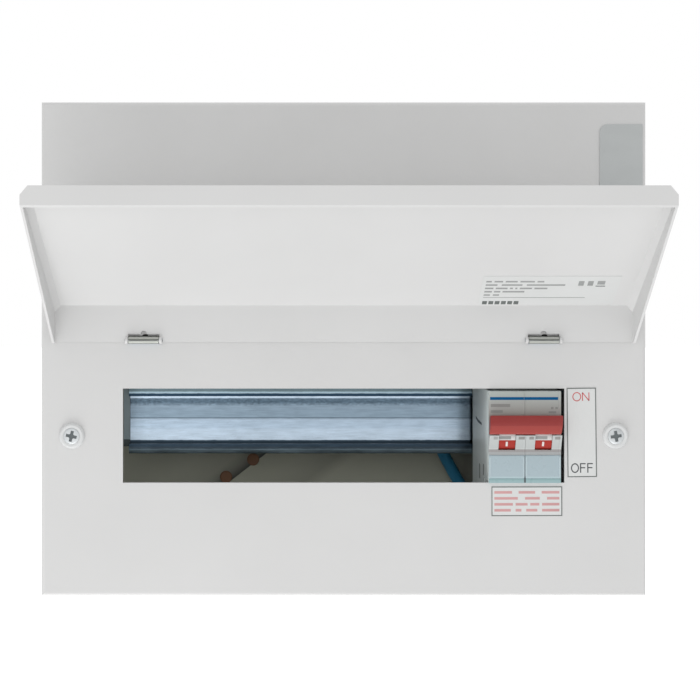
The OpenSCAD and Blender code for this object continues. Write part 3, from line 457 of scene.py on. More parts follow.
LOOKS = {  # what makes each material, and from what
    "cover_paint": (powder_coat, COVER),
    # the lid's is the cover's paint made a little lighter: painted light for the lid's underside
    "lid_paint": (powder_coat, (0.65, 0.65, 0.647)),
    "tray_paint": (powder_coat, COVER, True),
    "press_paint": (powder_coat, DEEP, True),
    "zinc": (plated, (0.46, 0.56, 0.66), 0.36, (8, 1, 1)),
    "screw_steel": (plated, (0.53, 0.55, 0.56), 0.5),
    "brass": (plated, (0.62, 0.42, 0.16), 0.3, (6, 1, 1), 0.08),
    "copper": (plated, (0.7, 0.32, 0.18), 0.35, (1, 1, 4), 0.12),
    "rail_zinc": (rolled_zinc, 0.15),
    "case_grey": (case_plastic, (0.78, 0.84, 0.83)),
    "label_window": (banded, 0.3, 0.2, rail_z, COVER_BANDS),
    "bar_red": (banded, 0.45, 0.0, rail_z, RED_BANDS),
    "hinge_zinc": (banded, 0.5, 0.0, pin[1], ROLL_BANDS, 0.3),
}
INK = 0.5, 0.0003  # roughness and grain
MOULDED = {  # colour, roughness, and its own grain, spread of the tone, coat and specular
    "end_zinc": ((0.33, 0.41, 0.44), 0.5, 0.0009, 0.06),
    "badge": ((0.475, 0.495, 0.495), 0.5),
    "label_paper": ((0.65, 0.66, 0.655), 0.4, 0.0004, 0.01),
    "cup_plastic": ((0.655, 0.665, 0.665), 0.4),
    "cable_blue": ((0.03, 0.235, 0.41), 0.38, 0.0008, 0.05),
    "plug_brown": ((0.25, 0.125, 0.065), 0.6),
    "carrier_blue": ((0.03, 0.11, 0.32), 0.4),
    "carrier_green": ((0.03, 0.2, 0.06), 0.4),
    "toggle_red": ((0.31, 0.027, 0.024), 0.45, 0.0006, 0.05, 0.0, 0.35),
    # painted shade in the screw heads' cross recesses
    "recess_dark": ((0.1, 0.115, 0.12), 0.5, 0.0006, 0.1),
    # painted shade behind the hinge rolls
    "gap_shade_dark": ((0.022, 0.022, 0.02), 0.7, 0.0006, 0.1, 0.0, 0.1),
    "drum_red": ((0.36, 0.03, 0.021), 0.5, 0.0006, 0.05, 0.0, 0.2),
    "rim_white": ((0.66, 0.67, 0.66), 0.42),
    "carriage_black": ((0.02, 0.02, 0.022), 0.5),
    "clip_white": ((0.68, 0.68, 0.66), 0.42),
    "label_light": ((0.42, 0.515, 0.55), 0.25, 0.0006, 0.02, 0.3),
    "gap_dark": ((0.06, 0.08, 0.085), 0.5, 0.0006, 0.1),
    # the grey and mid inks are print, and also painted shade on the switch's side
    "ink_grey": ((0.05, 0.055, 0.06), *INK, 0.2),
    "ink_red": ((0.5, 0.1, 0.1), *INK, 0.1),
    "ink_blue": ((0.001, 0.085, 0.225), *INK, 0.03, 0.0, 0.1),
    "ink_frame": ((0.11, 0.125, 0.12), *INK, 0.1),
    "ink_faint": ((0.23, 0.225, 0.215), *INK, 0.1),
    "ink_mid": ((0.3, 0.31, 0.305), *INK, 0.1),
    "rule_red": ((0.56, 0.3, 0.3), *INK, 0.1),
    "ink_light": ((0.66, 0.62, 0.6), 0.4, 0.0003, 0.03),
}
MATERIALS = {name: moulded(name, *values) for name, values in MOULDED.items()}
MATERIALS.update({name: make(name, *values) for name, (make, *values) in LOOKS.items()})


# --- CAD nodes that stay
SMOOTH_ANGLE, BEVEL_ANGLE, FLAT_ANGLE = (math.radians(a) for a in (38, 40, 1))
WELD = 0.000002
BEND_R = 0.0013
BEND_WEIGHT, BEND_NEAR = "bevel_weight_edge", 0.00005


def geometry_group(name):
    """A geometry node group, and its input and output nodes."""
    group = bpy.data.node_groups.new(name, "GeometryNodeTree")
    for way in ("INPUT", "OUTPUT"):
        group.interface.new_socket("Geometry", in_out=way, socket_type="NodeSocketGeometry")
    return group, group.nodes.new("NodeGroupInput"), group.nodes.new("NodeGroupOutput")


def smoothing_group():
    """Geometry nodes that drop imported normals and shade smooth across edges flatter than SMOOTH_ANGLE."""
    group, start, end = geometry_group("smooth_by_angle")
    drop = new_node(group, "GeometryNodeRemoveAttribute", Name="custom_normal")
    faces = group.nodes.new("GeometryNodeSetShadeSmooth")
    turn = group.nodes.new("GeometryNodeInputMeshEdgeAngle").outputs["Unsigned Angle"]
    wide = new_node(group, "FunctionNodeCompare", A=turn, B=SMOOTH_ANGLE)
    wide.operation = "GREATER_THAN"
    edges = new_node(group, "GeometryNodeSetShadeSmooth", Selection=wide.outputs["Result"], Shade_Smooth=False)
    edges.domain = "EDGE"
    for a, b in ((start, drop), (drop, faces), (faces, edges), (edges, end)):
        feed(b.inputs["Geometry"], a.outputs["Geometry"])
    return group


def bend_group(low, high, closed):
    """Geometry nodes that weight the outer edges of a folded sheet box; closed is its closed side's y."""
    group, start, end = geometry_group("folded_edges")
    place = group.nodes.new("GeometryNodeInputPosition").outputs[0]
    near = [maths("COMPARE", along(place, axis), target, BEND_NEAR) for axis, target in
            (("X", low[0]), ("X", high[0]), ("Z", low[2]), ("Z", high[2]), ("Y", closed))]
    sides = near[0]
    for side in near[1:]:
        sides = maths("ADD", sides, side)
    store = new_node(group, "GeometryNodeStoreNamedAttribute", Geometry=start.outputs[0], Name=BEND_WEIGHT)
    store.data_type = "FLOAT"
    store.domain = "EDGE"
    feed(store.inputs["Value"], maths("GREATER_THAN", sides, 1.5))  # an edge between two of the sides
    feed(end.inputs["Geometry"], store.outputs["Geometry"])
    return group


SMOOTH = smoothing_group()


def finish_edges(o, width, clean=False, bend=None):
    """Rounds an object's sharp edges by width and shades it smooth; clean merges imported triangles first."""
    if clean:
        o.modifiers.new("weld", "WELD").merge_threshold = WELD
        flat = o.modifiers.new("flat", "DECIMATE")
        flat.decimate_type = "DISSOLVE"
        flat.angle_limit = FLAT_ANGLE
    if bend:
        o.modifiers.new("bends", "NODES").node_group = bend
        fold = o.modifiers.new("folds", "BEVEL")
        fold.width, fold.segments, fold.limit_method = BEND_R, 4, "WEIGHT"
    if width:
        bevel = o.modifiers.new("edges", "BEVEL")
        bevel.width, bevel.segments, bevel.limit_method = width, 2, "ANGLE"
        bevel.angle_limit = BEVEL_ANGLE
    o.modifiers.new("smooth", "NODES").node_group = SMOOTH
    if width or bend:
        o.modifiers.new("even", "WEIGHTED_NORMAL").keep_sharp = True


PLAIN_EDGE = 0.0003
EDGE = {  # rounding of kept nodes by their material slot, where it isn't the plain one
    "zinc": 0.00015, "screw_steel": 0.0001, "brass": 0.00025, "copper": 0.00015, "badge": 0.00012,
    "label_paper": 0, "cup_plastic": 0.0001, "label_window": 0.00015, "plug_brown": 0.0004, "cable_blue": 0,
}
FINISH = {"din_rail": "rail_zinc", "toggle_drum_left": "drum_red", "toggle_drum_right": "drum_red"}
FOLDED = {  # sheet boxes with bent edges: the y of their closed side
    "front_cover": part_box("front_cover")[0][1], "base_tray": tray_high[1],
}
for part in frame["record"]["subparts"]:
    node, slot = part["node"], part["material_slot"]
    for s in nodes[node].material_slots:
        s.material = MATERIALS[FINISH.get(node, slot)]
    bend = bend_group(*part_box(node), FOLDED[node]) if node in FOLDED else None
    finish_edges(nodes[node], EDGE.get(slot, PLAIN_EDGE), True, bend)


# --- pieces
def mesh_object(name, verts, faces, material, body, replaces=()):
    """A mesh that rides on a body and takes one of the script's materials."""
    mesh = bpy.data.meshes.new(name)
    mesh.from_pydata([tuple(v) for v in verts], [], faces)
    mesh.materials.append(MATERIALS[material])
    o = put(name, mesh)
    if replaces:
        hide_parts(*replaces)
    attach(o, body)
    return o


def piece(name, verts, faces, material, body="enclosure", replaces=(), rounding=0.0, slot=None):
    """A mesh object with its doubles merged, its faces turned outwards and its edges finished."""
    o = mesh_object(name, verts, faces, material, body, replaces)
    bm = bmesh.new()
    bm.from_mesh(o.data)
    bmesh.ops.remove_doubles(bm, verts=bm.verts, dist=1e-7)
    bmesh.ops.recalc_face_normals(bm, faces=bm.faces)
    bm.to_mesh(o.data)
    bm.free()
    finish_edges(o, rounding)
    return o


def shell(n, start=0):
    """Faces between two outlines of n points each, one after the other from vertex start on."""
    caps = [list(range(start + n - 1, start - 1, -1)), list(range(start + n, start + 2 * n))]
    return caps + [[start + i, start + (i + 1) % n, start + n + (i + 1) % n, start + n + i] for i in range(n)]


def oblong(f0, f1, z0, z1):
    """Outline of a rectangle between its sides."""
    return [(f0, z0), (f1, z0), (f1, z1), (f0, z1)]


def prism(outline, x0, x1):
    """Verts and faces of an outline in [f, z] drawn out from x0 to x1."""
    return [(x, -f, z) for x in (x0, x1) for f, z in outline], shell(len(outline))


def curved(axis, radii, angles, steps, x0, x1):
    """Verts and faces of a sheet curved about an axis in [f, z], between two radii, two angles, x0 and x1."""
    verts, faces = [], []
    for a in spread(*angles, steps):
        verts += [(x, -axis[0] - r * math.cos(a), axis[1] + r * math.sin(a)) for x in (x0, x1) for r in radii]
    for b in range(0, 4 * steps, 4):
        c = b + 4
        faces += [[b + 1, b + 3, c + 3, c + 1], [b, c, c + 2, b + 2], [b, b + 1, c + 1, c]]
        faces.append([b + 2, c + 2, c + 3, b + 3])
    return verts, faces + [[0, 2, 3, 1], [4 * steps, 4 * steps + 1, 4 * steps + 3, 4 * steps + 2]]


def lathe(profile, centre, turns=64):
    """Verts and faces of a profile in [radius, height], turned about the axis through centre along -Y."""
    verts, faces = [], []
    n = len(profile)
    for i, a in enumerate(spread(0, 2 * math.pi, turns)[:-1]):
        verts += [(centre[0] + r * math.cos(a), centre[1] - h, centre[2] + r * math.sin(a)) for r, h in profile]
        j = (i + 1) % turns
        faces += [[i * n + k, i * n + k + 1, j * n + k + 1, j * n + k] for k in range(n - 1)]
    return verts, faces


def on_plane(centre, normal, turn=0.0):
    """Matrix of a plane at centre whose Z is normal and whose Y is as near up as it can be, turned clockwise."""
    z = normal.normalized()
    x = (Vector((1, 0, 0)) - z * z.x).normalized()
    basis = Matrix((x, z.cross(x), z)).transposed().to_4x4()
    return Matrix.Translation(centre) @ basis @ Matrix.Rotation(-turn, 4, "Z")


SHARPEST = 0.35  # keeps a sharp corner's mitre short


def ribbon(points, width, closed=False):
    """Outline quads of a flat line through points, with mitred corners."""
    line = [Vector(p) for p in points]
    after = [(b - a).normalized() for a, b in zip(line, line[1:] + line[:1])]
    before = after[-1:] + after[:-1]
    if not closed:
        before[0], after[-1] = after[0], after[-2]
    sides = []
    for p, a, b in zip(line, before, after):
        across = Vector((-(a.y + b.y), a.x + b.x)).normalized()
        reach = width / 2 / max(SHARPEST, across.dot(Vector((-a.y, a.x))))
        sides.append((p + across * reach, p - across * reach))
    return [[a, c, d, b] for (a, b), (c, d) in zip(sides, sides[1:] + (sides[:1] if closed else []))]


def rectangle(w, h, x=0.0, y=0.0):
    """Outline of a rectangle about x and y."""
    return [(x - w / 2, y - h / 2), (x + w / 2, y - h / 2), (x + w / 2, y + h / 2), (x - w / 2, y + h / 2)]


def printed(name, shapes, place, material, body="enclosure", thick=0.00003):
    """Flat print: each shape is an outline in the plane's own x and y, raised from it by thick."""
    verts, faces = [], []
    for shape in shapes:
        faces += shell(len(shape), len(verts))
        verts += [place @ Vector((x, y, t)) for t in (0, thick) for x, y in shape]
    return mesh_object(name, verts, faces, material, body)


SIDES = "left", "right"
shown = {}  # image point: the piece that is measured against it

# Hinges: a tongue rolled round the pin with its seam to the front, its leaf, and a dark sheet behind the roll,
# painted shade of the gap there
HINGE_SHEET, HALF_ROLL, ROLL_GAP, ROLL_STEPS = 0.0008, 0.0073, 0.00005, 36
SEAM = math.radians(7)
GAP_SHADE_W, GAP_SHADE_H, GAP_SHADE_NICK, GAP_SHADE_NICK_X, GAP_SHADE_T = 0.0156, 0.0021, 0.0014, 0.0006, 0.0002
FILLET = 0.0002  # between tongue and leaf
cover_f = -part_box("front_cover")[0][1]
for side in SIDES:
    low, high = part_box("hinge_" + side)
    x, back, roll_r = (low[0] + high[0]) / 2, -high[1], -low[1] - pin[0]
    foot = pin[1] - roll_r
    x0, x1 = x - HALF_ROLL, x + HALF_ROLL
    roll = curved(pin, (pin_r + ROLL_GAP, roll_r), (SEAM, 2 * math.pi - SEAM), ROLL_STEPS, x0, x1)
    shown["hinge_" + side] = piece(
        f"hinge_roll_{side}", *roll, "hinge_zinc", replaces=["hinge_" + side], rounding=0.00008, slot="zinc")
    gap_shade = [(-GAP_SHADE_W / 2, 0), (GAP_SHADE_W / 2, 0), (GAP_SHADE_W / 2, GAP_SHADE_H)]
    gap_shade += [(GAP_SHADE_NICK * math.cos(a) + GAP_SHADE_NICK_X, GAP_SHADE_H + GAP_SHADE_NICK / 2 * math.sin(a))
            for a in spread(0, math.pi, 12)]
    gap_shade.append((-GAP_SHADE_W / 2, GAP_SHADE_H))
    verts = [(x + u, y, pin[1] + z) for y in (-cover_f - GAP_SHADE_T, -cover_f + 0.0001) for u, z in gap_shade]
    piece(f"hinge_gap_shade_{side}", verts, shell(len(gap_shade)), "gap_shade_dark", slot="zinc")
    top, inner = foot + HINGE_SHEET, back + HINGE_SHEET
    tongue = [(back, foot), (pin[0], foot), (pin[0], top), (inner, top), (inner, top + FILLET), (back, top + FILLET)]
    piece(f"hinge_tongue_{side}", *prism(tongue, x0, x1), "zinc", rounding=0.00008)
    piece(f"hinge_leaf_{side}", *prism(oblong(back, inner, foot, high[2]), low[0], high[0]), "zinc", rounding=0.0001)

# Cover screws: dished white cups, and domed heads with a cross recess that has dark pieces in it as painted shade
CROSS_L, CROSS_W, CROSS_HUB, CROSS_DEPTH = 0.0053, 0.0015, 0.0027, 0.0012
RECESS_SHADE_DEPTH, RECESS_SHADE_T, RECESS_SHADE_GAP = 0.00035, 0.0005, 0.00005
CROSS_TURN = {"left": 12, "right": -8}  # degrees
DOME, DOME_ARC, DOME_STEPS = 0.0006, 1.2, 8  # the head's rise over its edge, and the arc that makes it
SEAT = 0.0008  # height of the cup's floor, where the head sits
PITCH, THREAD = 0.0008, 0.0003
screws_low, screws_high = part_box("cover_screws")
cups_low, cups_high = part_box("cover_screw_cups")
_, cup_r = middle("cover_screw_cups")
(_, screw_z), head_r = middle("cover_screws")
cover_y = cups_high[1]
cup_h, top, tail = cover_y - cups_low[1], cover_y - screws_low[1], cover_y - screws_high[1]
rim, shank_r = cup_r - 0.0007, head_r / 2
core_r, bore_r = shank_r - THREAD, shank_r + 0.0001
cup = [(bore_r, 0), (cup_r, 0), (cup_r, 0.0004), (cup_r - 0.0002, 0.0009), (rim, cup_h - 0.0002),
       (rim - 0.0004, cup_h), (rim - 0.0009, cup_h - 0.0001), (head_r + 0.00005, min(cup_h - 0.0002, top - DOME)),
       (head_r, SEAT), (bore_r, SEAT), (bore_r, 0)]
head = [(0, top)]
for a in spread(0, DOME_ARC, DOME_STEPS)[1:]:
    head.append((head_r * math.sin(a) / math.sin(DOME_ARC),
                 top - DOME * (1 - math.cos(a)) / (1 - math.cos(DOME_ARC))))
head += [(head_r, SEAT + 0.0001), (head_r - 0.0001, SEAT), (shank_r, SEAT)]
for i in range(int((SEAT - tail - 0.001) / PITCH)):
    head += [(shank_r, 0.0006 - i * PITCH), (core_r, 0.0006 - (i + 0.5) * PITCH)]
head += [(core_r, tail + 0.0003), (shank_r - 0.0006, tail), (0, tail)]


def cross(x, spin, ends, inset=0.0, offset=0.0):
    """Verts and faces of a cross recess's two bars and hub, between two depths behind the head's top."""
    verts, faces = [], []
    for turn, long, wide in ((0, CROSS_L, CROSS_W), (90, CROSS_L, CROSS_W), (45, CROSS_HUB, CROSS_HUB)):
        place = Matrix.Translation((x, cover_y - top + turn * offset, screw_z))
        place @= Matrix.Rotation(math.radians(turn + spin), 4, "Y")
        faces += shell(4, len(verts))
        verts += [place @ Vector((u, y, v)) for y in ends for u, v in rectangle(long - 2 * inset, wide - 2 * inset)]
    return verts, faces


for side, x in (("left", cups_low[0] + cup_r), ("right", cups_high[0] - cup_r)):
    at = (x, cover_y, screw_z)
    shown["screw_" + side] = piece(
        f"screw_cup_{side}", *lathe(cup, at), "cup_plastic", replaces=["cover_screw_cups"], rounding=0.00005)
    screw = piece(f"cover_screw_{side}", *lathe(head, at), "screw_steel", replaces=["cover_screws"])
    recess_shade = cross(x, CROSS_TURN[side], (RECESS_SHADE_DEPTH + RECESS_SHADE_T, RECESS_SHADE_DEPTH), RECESS_SHADE_GAP, 1e-7)
    piece(f"screw_recess_{side}", *recess_shade, "recess_dark", slot="screw_steel")
    cutter = put("cross", bpy.data.meshes.new("cross"))
    verts, faces = cross(x, CROSS_TURN[side], (CROSS_DEPTH, -CROSS_DEPTH))
    cutter.data.from_pydata(verts, [], faces)
    carve = screw.modifiers.new("cross", "BOOLEAN")
    carve.operation, carve.solver = "DIFFERENCE", "EXACT"
    carve.use_self, carve.object = True, cutter
    screw.modifiers.move(len(screw.modifiers) - 1, 0)
    screw.data = bpy.data.meshes.new_from_object(screw.evaluated_get(bpy.context.evaluated_depsgraph_get()))
    screw.modifiers.clear()
    finish_edges(screw, 0.00005)
    bpy.data.objects.remove(cutter)

# Pressed wedge in the tray's back, with one sharp raised edge beside which a shadow is painted; its foot is inside
# the back's sheet
WEDGE_FOOT, WEDGE_TOP = (0.0006,) * 4, (0.0016, 0.0016, 0.0007, 0.0007)
verts = [(x * MM, -f, z * MM) for face in (WEDGE_FOOT, WEDGE_TOP) for (x, z), f in zip(WEDGE, face)]
piece("wall_press", verts, shell(4), "press_paint", slot="tray_paint")

# Plate at the rail's left end with a dark strip under it as painted shade, and the bead in the groove along the
# rail's middle
PLATE_W, PLATE_T, PLATE_RISE = 0.0034, 0.0012, 0.004
PLATE_SHADE_START, PLATE_BEND = 0.0029, 0.0065  # where the strip of painted shade under it starts and ends, above the rail's lower edge
for name, z0, z1, material in (
        ("plate", rail_low[2] + PLATE_BEND, rail_high[2] + PLATE_RISE, "end_zinc"),
        ("foot", rail_low[2] + PLATE_SHADE_START, rail_low[2] + PLATE_BEND - 0.0001, "gap_dark")):
    plate = oblong(-rail_high[1], -rail_high[1] + PLATE_T, z0, z1)
    piece(f"rail_end_{name}", *prism(plate, rail_low[0] - PLATE_W, rail_low[0] - 0.00005), material,
          rounding=0.0001, slot="zinc")
BEAD_F, BEAD_T = 0.03198, 0.00028  # just behind the front of the rail's web, which is at 0.032 as in part.scad
bead = [(BEAD_F - BEAD_T, rail_z), (BEAD_F, rail_z - 0.00028), (BEAD_F, rail_z + 0.0001)]
piece("rail_bead", *prism(bead, rail_low[0], rail_high[0]), "rail_zinc", slot="zinc")

# Link cable: the same route as its CAD solid, as [x, f, z] in millimetres
CABLE_R = 0.0032
LINK_START, LINK_END = Vector((79.1, 64.2, -83.6)), Vector((44, 42, 71))
TURN_R, TURN_DRIFT, TURN_STEPS = 27.5, 12, 8
RISE_F, RISE_Z, RISE_STEPS = 15.2, -6, 4
LINK_BACK = ((61.4, 10, -73.3), (55.8, 11, -62.5), (51.2, 12.4, -50), (47.9, 13.8, -36), (45.8, 14.8, -21))
LINK_PARTS = 6  # parts of the smooth curve between two points of the route
route = [LINK_START - Vector((TURN_DRIFT * (a / math.pi) ** 3, TURN_R * (1 - math.cos(a)), TURN_R * math.sin(a)))
         for a in spread(0, math.pi, TURN_STEPS)]
route += [Vector(p) for p in LINK_BACK]
route += [Vector((LINK_END.x, RISE_F + (LINK_END.y - RISE_F) * (1 - math.cos(math.pi * t)) / 2,
                  RISE_Z + (LINK_END.z - RISE_Z) * t)) for t in spread(0, 1, RISE_STEPS)]


def curve_point(a, b, c, d, t):
    """Point between b and c of a smooth curve through a, b, c and d."""
    return 0.5 * (2 * b + (c - a) * t + (2 * a - 5 * b + 4 * c - d) * t ** 2 + (3 * b - a - 3 * c + d) * t ** 3)


line = []
for i in range(len(route) - 1):
    a, d = route[max(i - 1, 0)], route[min(i + 2, len(route) - 1)]
    line += [curve_point(a, route[i], route[i + 1], d, k / LINK_PARTS) for k in range(LINK_PARTS)]
line = [Vector((p.x, -p.y, p.z)) * MM for p in line + [route[-1]]]
wire = bpy.data.curves.new("link_wire", "CURVE")
wire.dimensions, wire.use_fill_caps = "3D", True
wire.bevel_depth, wire.bevel_resolution = CABLE_R, 8
spline = wire.splines.new("POLY")
spline.points.add(len(line) - 1)
for p, at in zip(spline.points, line):
    p.co = (*at, 1)
spline.use_smooth = True
wire.materials.append(MATERIALS["cable_blue"])
link_wire = put("link_wire", wire)
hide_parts("link_cable")
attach(link_wire, "enclosure")

# Toggle bar with slanted ends, from an outline in millimetres: out from the axle and up, with the toggle level
TOGGLE_ON = math.radians(30)
BAR = ((10.6, -4.5), (12.3, -4.5), (14.15, -1.4), (13.85, 1.2), (13.3, 4.1), (12.9, 4.45), (10.6, 4.25))
BAR_ENDS = (-0.0004, 0.0005), (-0.0009, 0.0007)  # how far each end's bottom and top stand off the CAD bar's
axle, _ = middle("toggle_axle")
outline = [(axle[0] + (r * math.cos(TOGGLE_ON) - h * math.sin(TOGGLE_ON)) * MM,
            axle[1] + (r * math.sin(TOGGLE_ON) + h * math.cos(TOGGLE_ON)) * MM) for r, h in BAR]
low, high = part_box("toggle_bar")
verts, faces = prism(outline, low[0], high[0])
slants = [end for end in BAR_ENDS for _ in BAR]
verts = [(x + a + (b - a) * (z - low[2]) / (high[2] - low[2]), y, z) for (x, y, z), (a, b) in zip(verts, slants)]
shown["toggle"] = piece("toggle_handle", verts, faces, "bar_red", "toggle", ["toggle_bar"], 0.0002, "toggle_red")

# Toggle drums: a white rim over a red window, with rows and a plain mark; angles in degrees above level
DRUM_R, DRUM_EMBED, DRUM_SPARE = 0.0084, 0.0001, 0.0002
PATCHES = (  # how much narrower than the drum, angles, lift and material
    ("face", 0, -48, -12, 0.00003, "drum_red"), ("rim", 0, -12, 34, 0.00006, "rim_white"),
    ("rows", 0.0022, -9, 1, 0.00009, "ink_mid"),
)
MARK_W, MARK_H, MARK_LIFT = 0.0010, 17, 0.0002


def drum_patch(name, x0, x1, a0, a1, lift, material):
    """A thin shell on a toggle drum from angle a0 to a1."""
    sheet = curved(axle, (DRUM_R - DRUM_EMBED, DRUM_R + lift), (math.radians(a0), math.radians(a1)),
                   max(4, int((a1 - a0) / 3)), x0, x1)
    return piece(name, *sheet, material, "toggle", slot="toggle_red")


pole_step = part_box("pole_case_right")[0][0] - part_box("pole_case_left")[0][0]
spot, _ = on_surface("mark", [nodes["toggle_drum_left"]])
mark_angle = math.degrees(math.atan2(spot.z - axle[1], -spot.y - axle[0]))
for k, side in enumerate(SIDES):
    low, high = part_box("toggle_drum_" + side)
    for name, short, a0, a1, lift, material in PATCHES:
        drum_patch(f"drum_{name}_{side}", low[0] - DRUM_SPARE, high[0] + DRUM_SPARE - short, a0, a1, lift, material)
    x = spot.x + k * pole_step
    mark = drum_patch(f"drum_mark_{side}", x - MARK_W / 2, x + MARK_W / 2, mark_angle - MARK_H / 2,
                      mark_angle + MARK_H / 2, MARK_LIFT, "ink_light")
    shown.setdefault("mark", mark)

# Label covers on the nose, with lighter edges and a parting line, and the notch where they meet
PARTING, GROOVE = rail_z - 0.0207, 0.00022
EDGE_W, EDGE_T = 0.0009, 0.0001
NOTCH_F, NOTCH_Z, NOTCH_W = (-0.0004, 0.0003), (-0.0226, -0.0196), 0.0008
for side in SIDES:
    low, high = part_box("label_window_" + side)
    front, back = -low[1], -high[1]
    outline = [(back, low[2]), (front, low[2]), (front, PARTING), (front - GROOVE, PARTING + GROOVE / 2),
               (front - GROOVE, PARTING + GROOVE), (front, PARTING + 1.5 * GROOVE), (front, high[2] - 0.0005),
               (front - 0.0003, high[2]), (back, high[2])]
    piece(f"label_cover_{side}", *prism(outline, low[0], high[0]), "label_window",
          replaces=["label_window_" + side], rounding=0.00012)
    edge = oblong(front - EDGE_T, front + EDGE_T, PARTING + 2 * GROOVE, high[2] - 0.0009)
    for name, x0 in (("a", low[0] + EDGE_T), ("b", high[0] - EDGE_T - EDGE_W)):
        piece(f"label_rim_{side}_{name}", *prism(edge, x0, x0 + EDGE_W), "label_light", rounding=0.00004,
              slot="label_window")
split_x = (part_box("label_window_left")[1][0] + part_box("label_window_right")[0][0]) / 2
notch = oblong(*(nose_f + f for f in NOTCH_F), *(rail_z + z for z in NOTCH_Z))
piece("pole_notch", *prism(notch, split_x - NOTCH_W / 2, split_x + NOTCH_W / 2), "gap_dark", rounding=0.0001,
      slot="case_grey")

# Draft of the left pole's side, with its slot and ribs as dark marks of painted shade
DRAFT_F, DRAFT_T = (-rail_low[1] + 0.0002, 0.0925), (0.0012, 0.00005)  # its start and end, and its thickness
SHOULDER_F, SHOULDER_INSET = 0.0822, 0.0003
nose_low, nose_high = rail_z - 0.0224, rail_z + 0.0213
poles_low, poles_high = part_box("pole_case_left")
SIDE_MARKS = (  # outlines in [f, z] in millimetres
    ("side_slot", "ink_grey", ((51.5, -39.6), (60, -40.4), (73, -40.2), (73, -39.0), (60, -38.9), (51.5, -38.2))),
    ("side_rib_a", "ink_mid", oblong(64, 67.5, -68.0, -60.6)),
    ("side_rib_b", "ink_mid", oblong(78, 81.5, -64.1, -58.6)),
)


def draft_x(f):
    """The drafted side's x at a distance from the wall."""
    part = (f - DRAFT_F[0]) / (DRAFT_F[1] - DRAFT_F[0])
    return poles_low[0] - DRAFT_T[0] + (DRAFT_T[0] - DRAFT_T[1]) * part


foot, top = poles_low[2] + SHOULDER_INSET, poles_high[2] - SHOULDER_INSET
draft = [(DRAFT_F[0], foot), (SHOULDER_F, foot), (SHOULDER_F, nose_low), (DRAFT_F[1], nose_low),
         (DRAFT_F[1], nose_high), (SHOULDER_F, nose_high), (SHOULDER_F, top), (DRAFT_F[0], top)]
verts, faces = prism(draft, 0, poles_low[0] + 0.0001)
piece("pole_side_draft", [(x or draft_x(-y), y, z) for x, y, z in verts], faces, "case_grey")
for name, material, outline in SIDE_MARKS:
    verts, faces = prism([(f * MM, z * MM) for f, z in outline], -0.00006, 0.0001)
    piece(name, [(x + draft_x(-y), y, z) for x, y, z in verts], faces, material, slot="case_grey")

# Print on the switch, in millimetres: a plain stripe, and plain bars in place of small print
face = [nodes[f"pole_{name}_{side}"] for name in ("case", "cheek") for side in SIDES]
SWITCH_PRINT = (  # name, image point, ink and bars: width, height, x and y
    ("stripe_left", "stripe", "ink_blue", ((16.45, 1.4, 0, 0),)),
    ("stripe_right", "stripe", "ink_blue", ((16.45, 1.4, 16.55, 0),)),
    ("rating_rows", "rating_rows", "ink_faint", ((9.4, 1.5, 0, 1.45), (5.8, 1.3, -1.8, -1.45))),
    ("rating_marks", "rating_rows", "ink_faint",
     ((1.2, 1.1, 25.1, 0.2), (1.2, 1.1, 27.2, 0.2), (3.6, 1.0, 25.2, -1.8))),
    ("hood_rows", "hood_rows", "ink_mid", ((2.0, 1.6, 0, 0),)),
    ("hood_rows_right", "hood_rows", "ink_faint", ((3.0, 1.6, 12.6, 0), (2.2, 1.6, 17.4, 0), (2.6, 1.6, 30.0, 0))),
)


def blocks(rows):
    """Rectangles from their sizes and places in millimetres."""
    return [rectangle(*(value * MM for value in row)) for row in rows]


def bars(lengths, width, x, y, height):
    """Plain bars in place of words: lengths in millimetres, spread from x over the width."""
    gap = (width - sum(lengths) * MM) / (len(lengths) - 1)
    made = []
    for length in lengths:
        made.append(rectangle(length * MM, height, x + length * MM / 2, y))
        x += length * MM + gap
    return made


for name, point, ink, rows in SWITCH_PRINT:
    shown.setdefault(point, printed(name, blocks(rows), on_plane(*on_surface(point, face)), ink))

# Stickers on the cover: ON and OFF, and a ruled one with plain bars in place of words
OUTLINE_W = 0.00045
TILT = math.radians(-0.65)
WORDS = (  # image point, letters, letter's width and height, gap, line and ink
    ("on_word", "ON", 0.0038, 0.0045, 0.0004, 0.00046, "ink_red"),
    ("off_word", "OFF", 0.0035, 0.0047, 0.0005, 0.00054, "ink_grey"),
)
LETTER_W = {"O": 1.12, "N": 0.95, "F": 0.86}
STROKES = {"N": (((0, 0), (0, 1)), ((0, 1), (1, 0)), ((1, 0), (1, 1))),
           "F": (((0, -0.05), (0, 1), (1, 1)), ((0, 0.53), (0.9, 0.53)))}
RULE_STEP, RULE_H, RULE_W = 0.0029, 0.00125, 0.0316
RULES = ((8.6, 8.0, 8.6), (11.4, 7.2, 6.0), (9.0, 5.8, 4.4, 8.4), (8.0, 2.8, 5.4, 8.4))


def letter(kind, w, h, x, line):
    """Strokes of one letter in a cell of w by h whose left side is at x, as flat outlines."""
    def cell(u, v):
        return x + line / 2 + u * (w - line), -h / 2 + line / 2 + v * (h - line)

    if kind == "O":
        ring = [cell(0.5 + 0.5 * math.cos(a), 0.5 + 0.5 * math.sin(a)) for a in spread(0, 2 * math.pi, 40)[:-1]]
        return ribbon(ring, line, closed=True)
    return [quad for stroke in STROKES[kind] for quad in ribbon([cell(u, v) for u, v in stroke], line)]


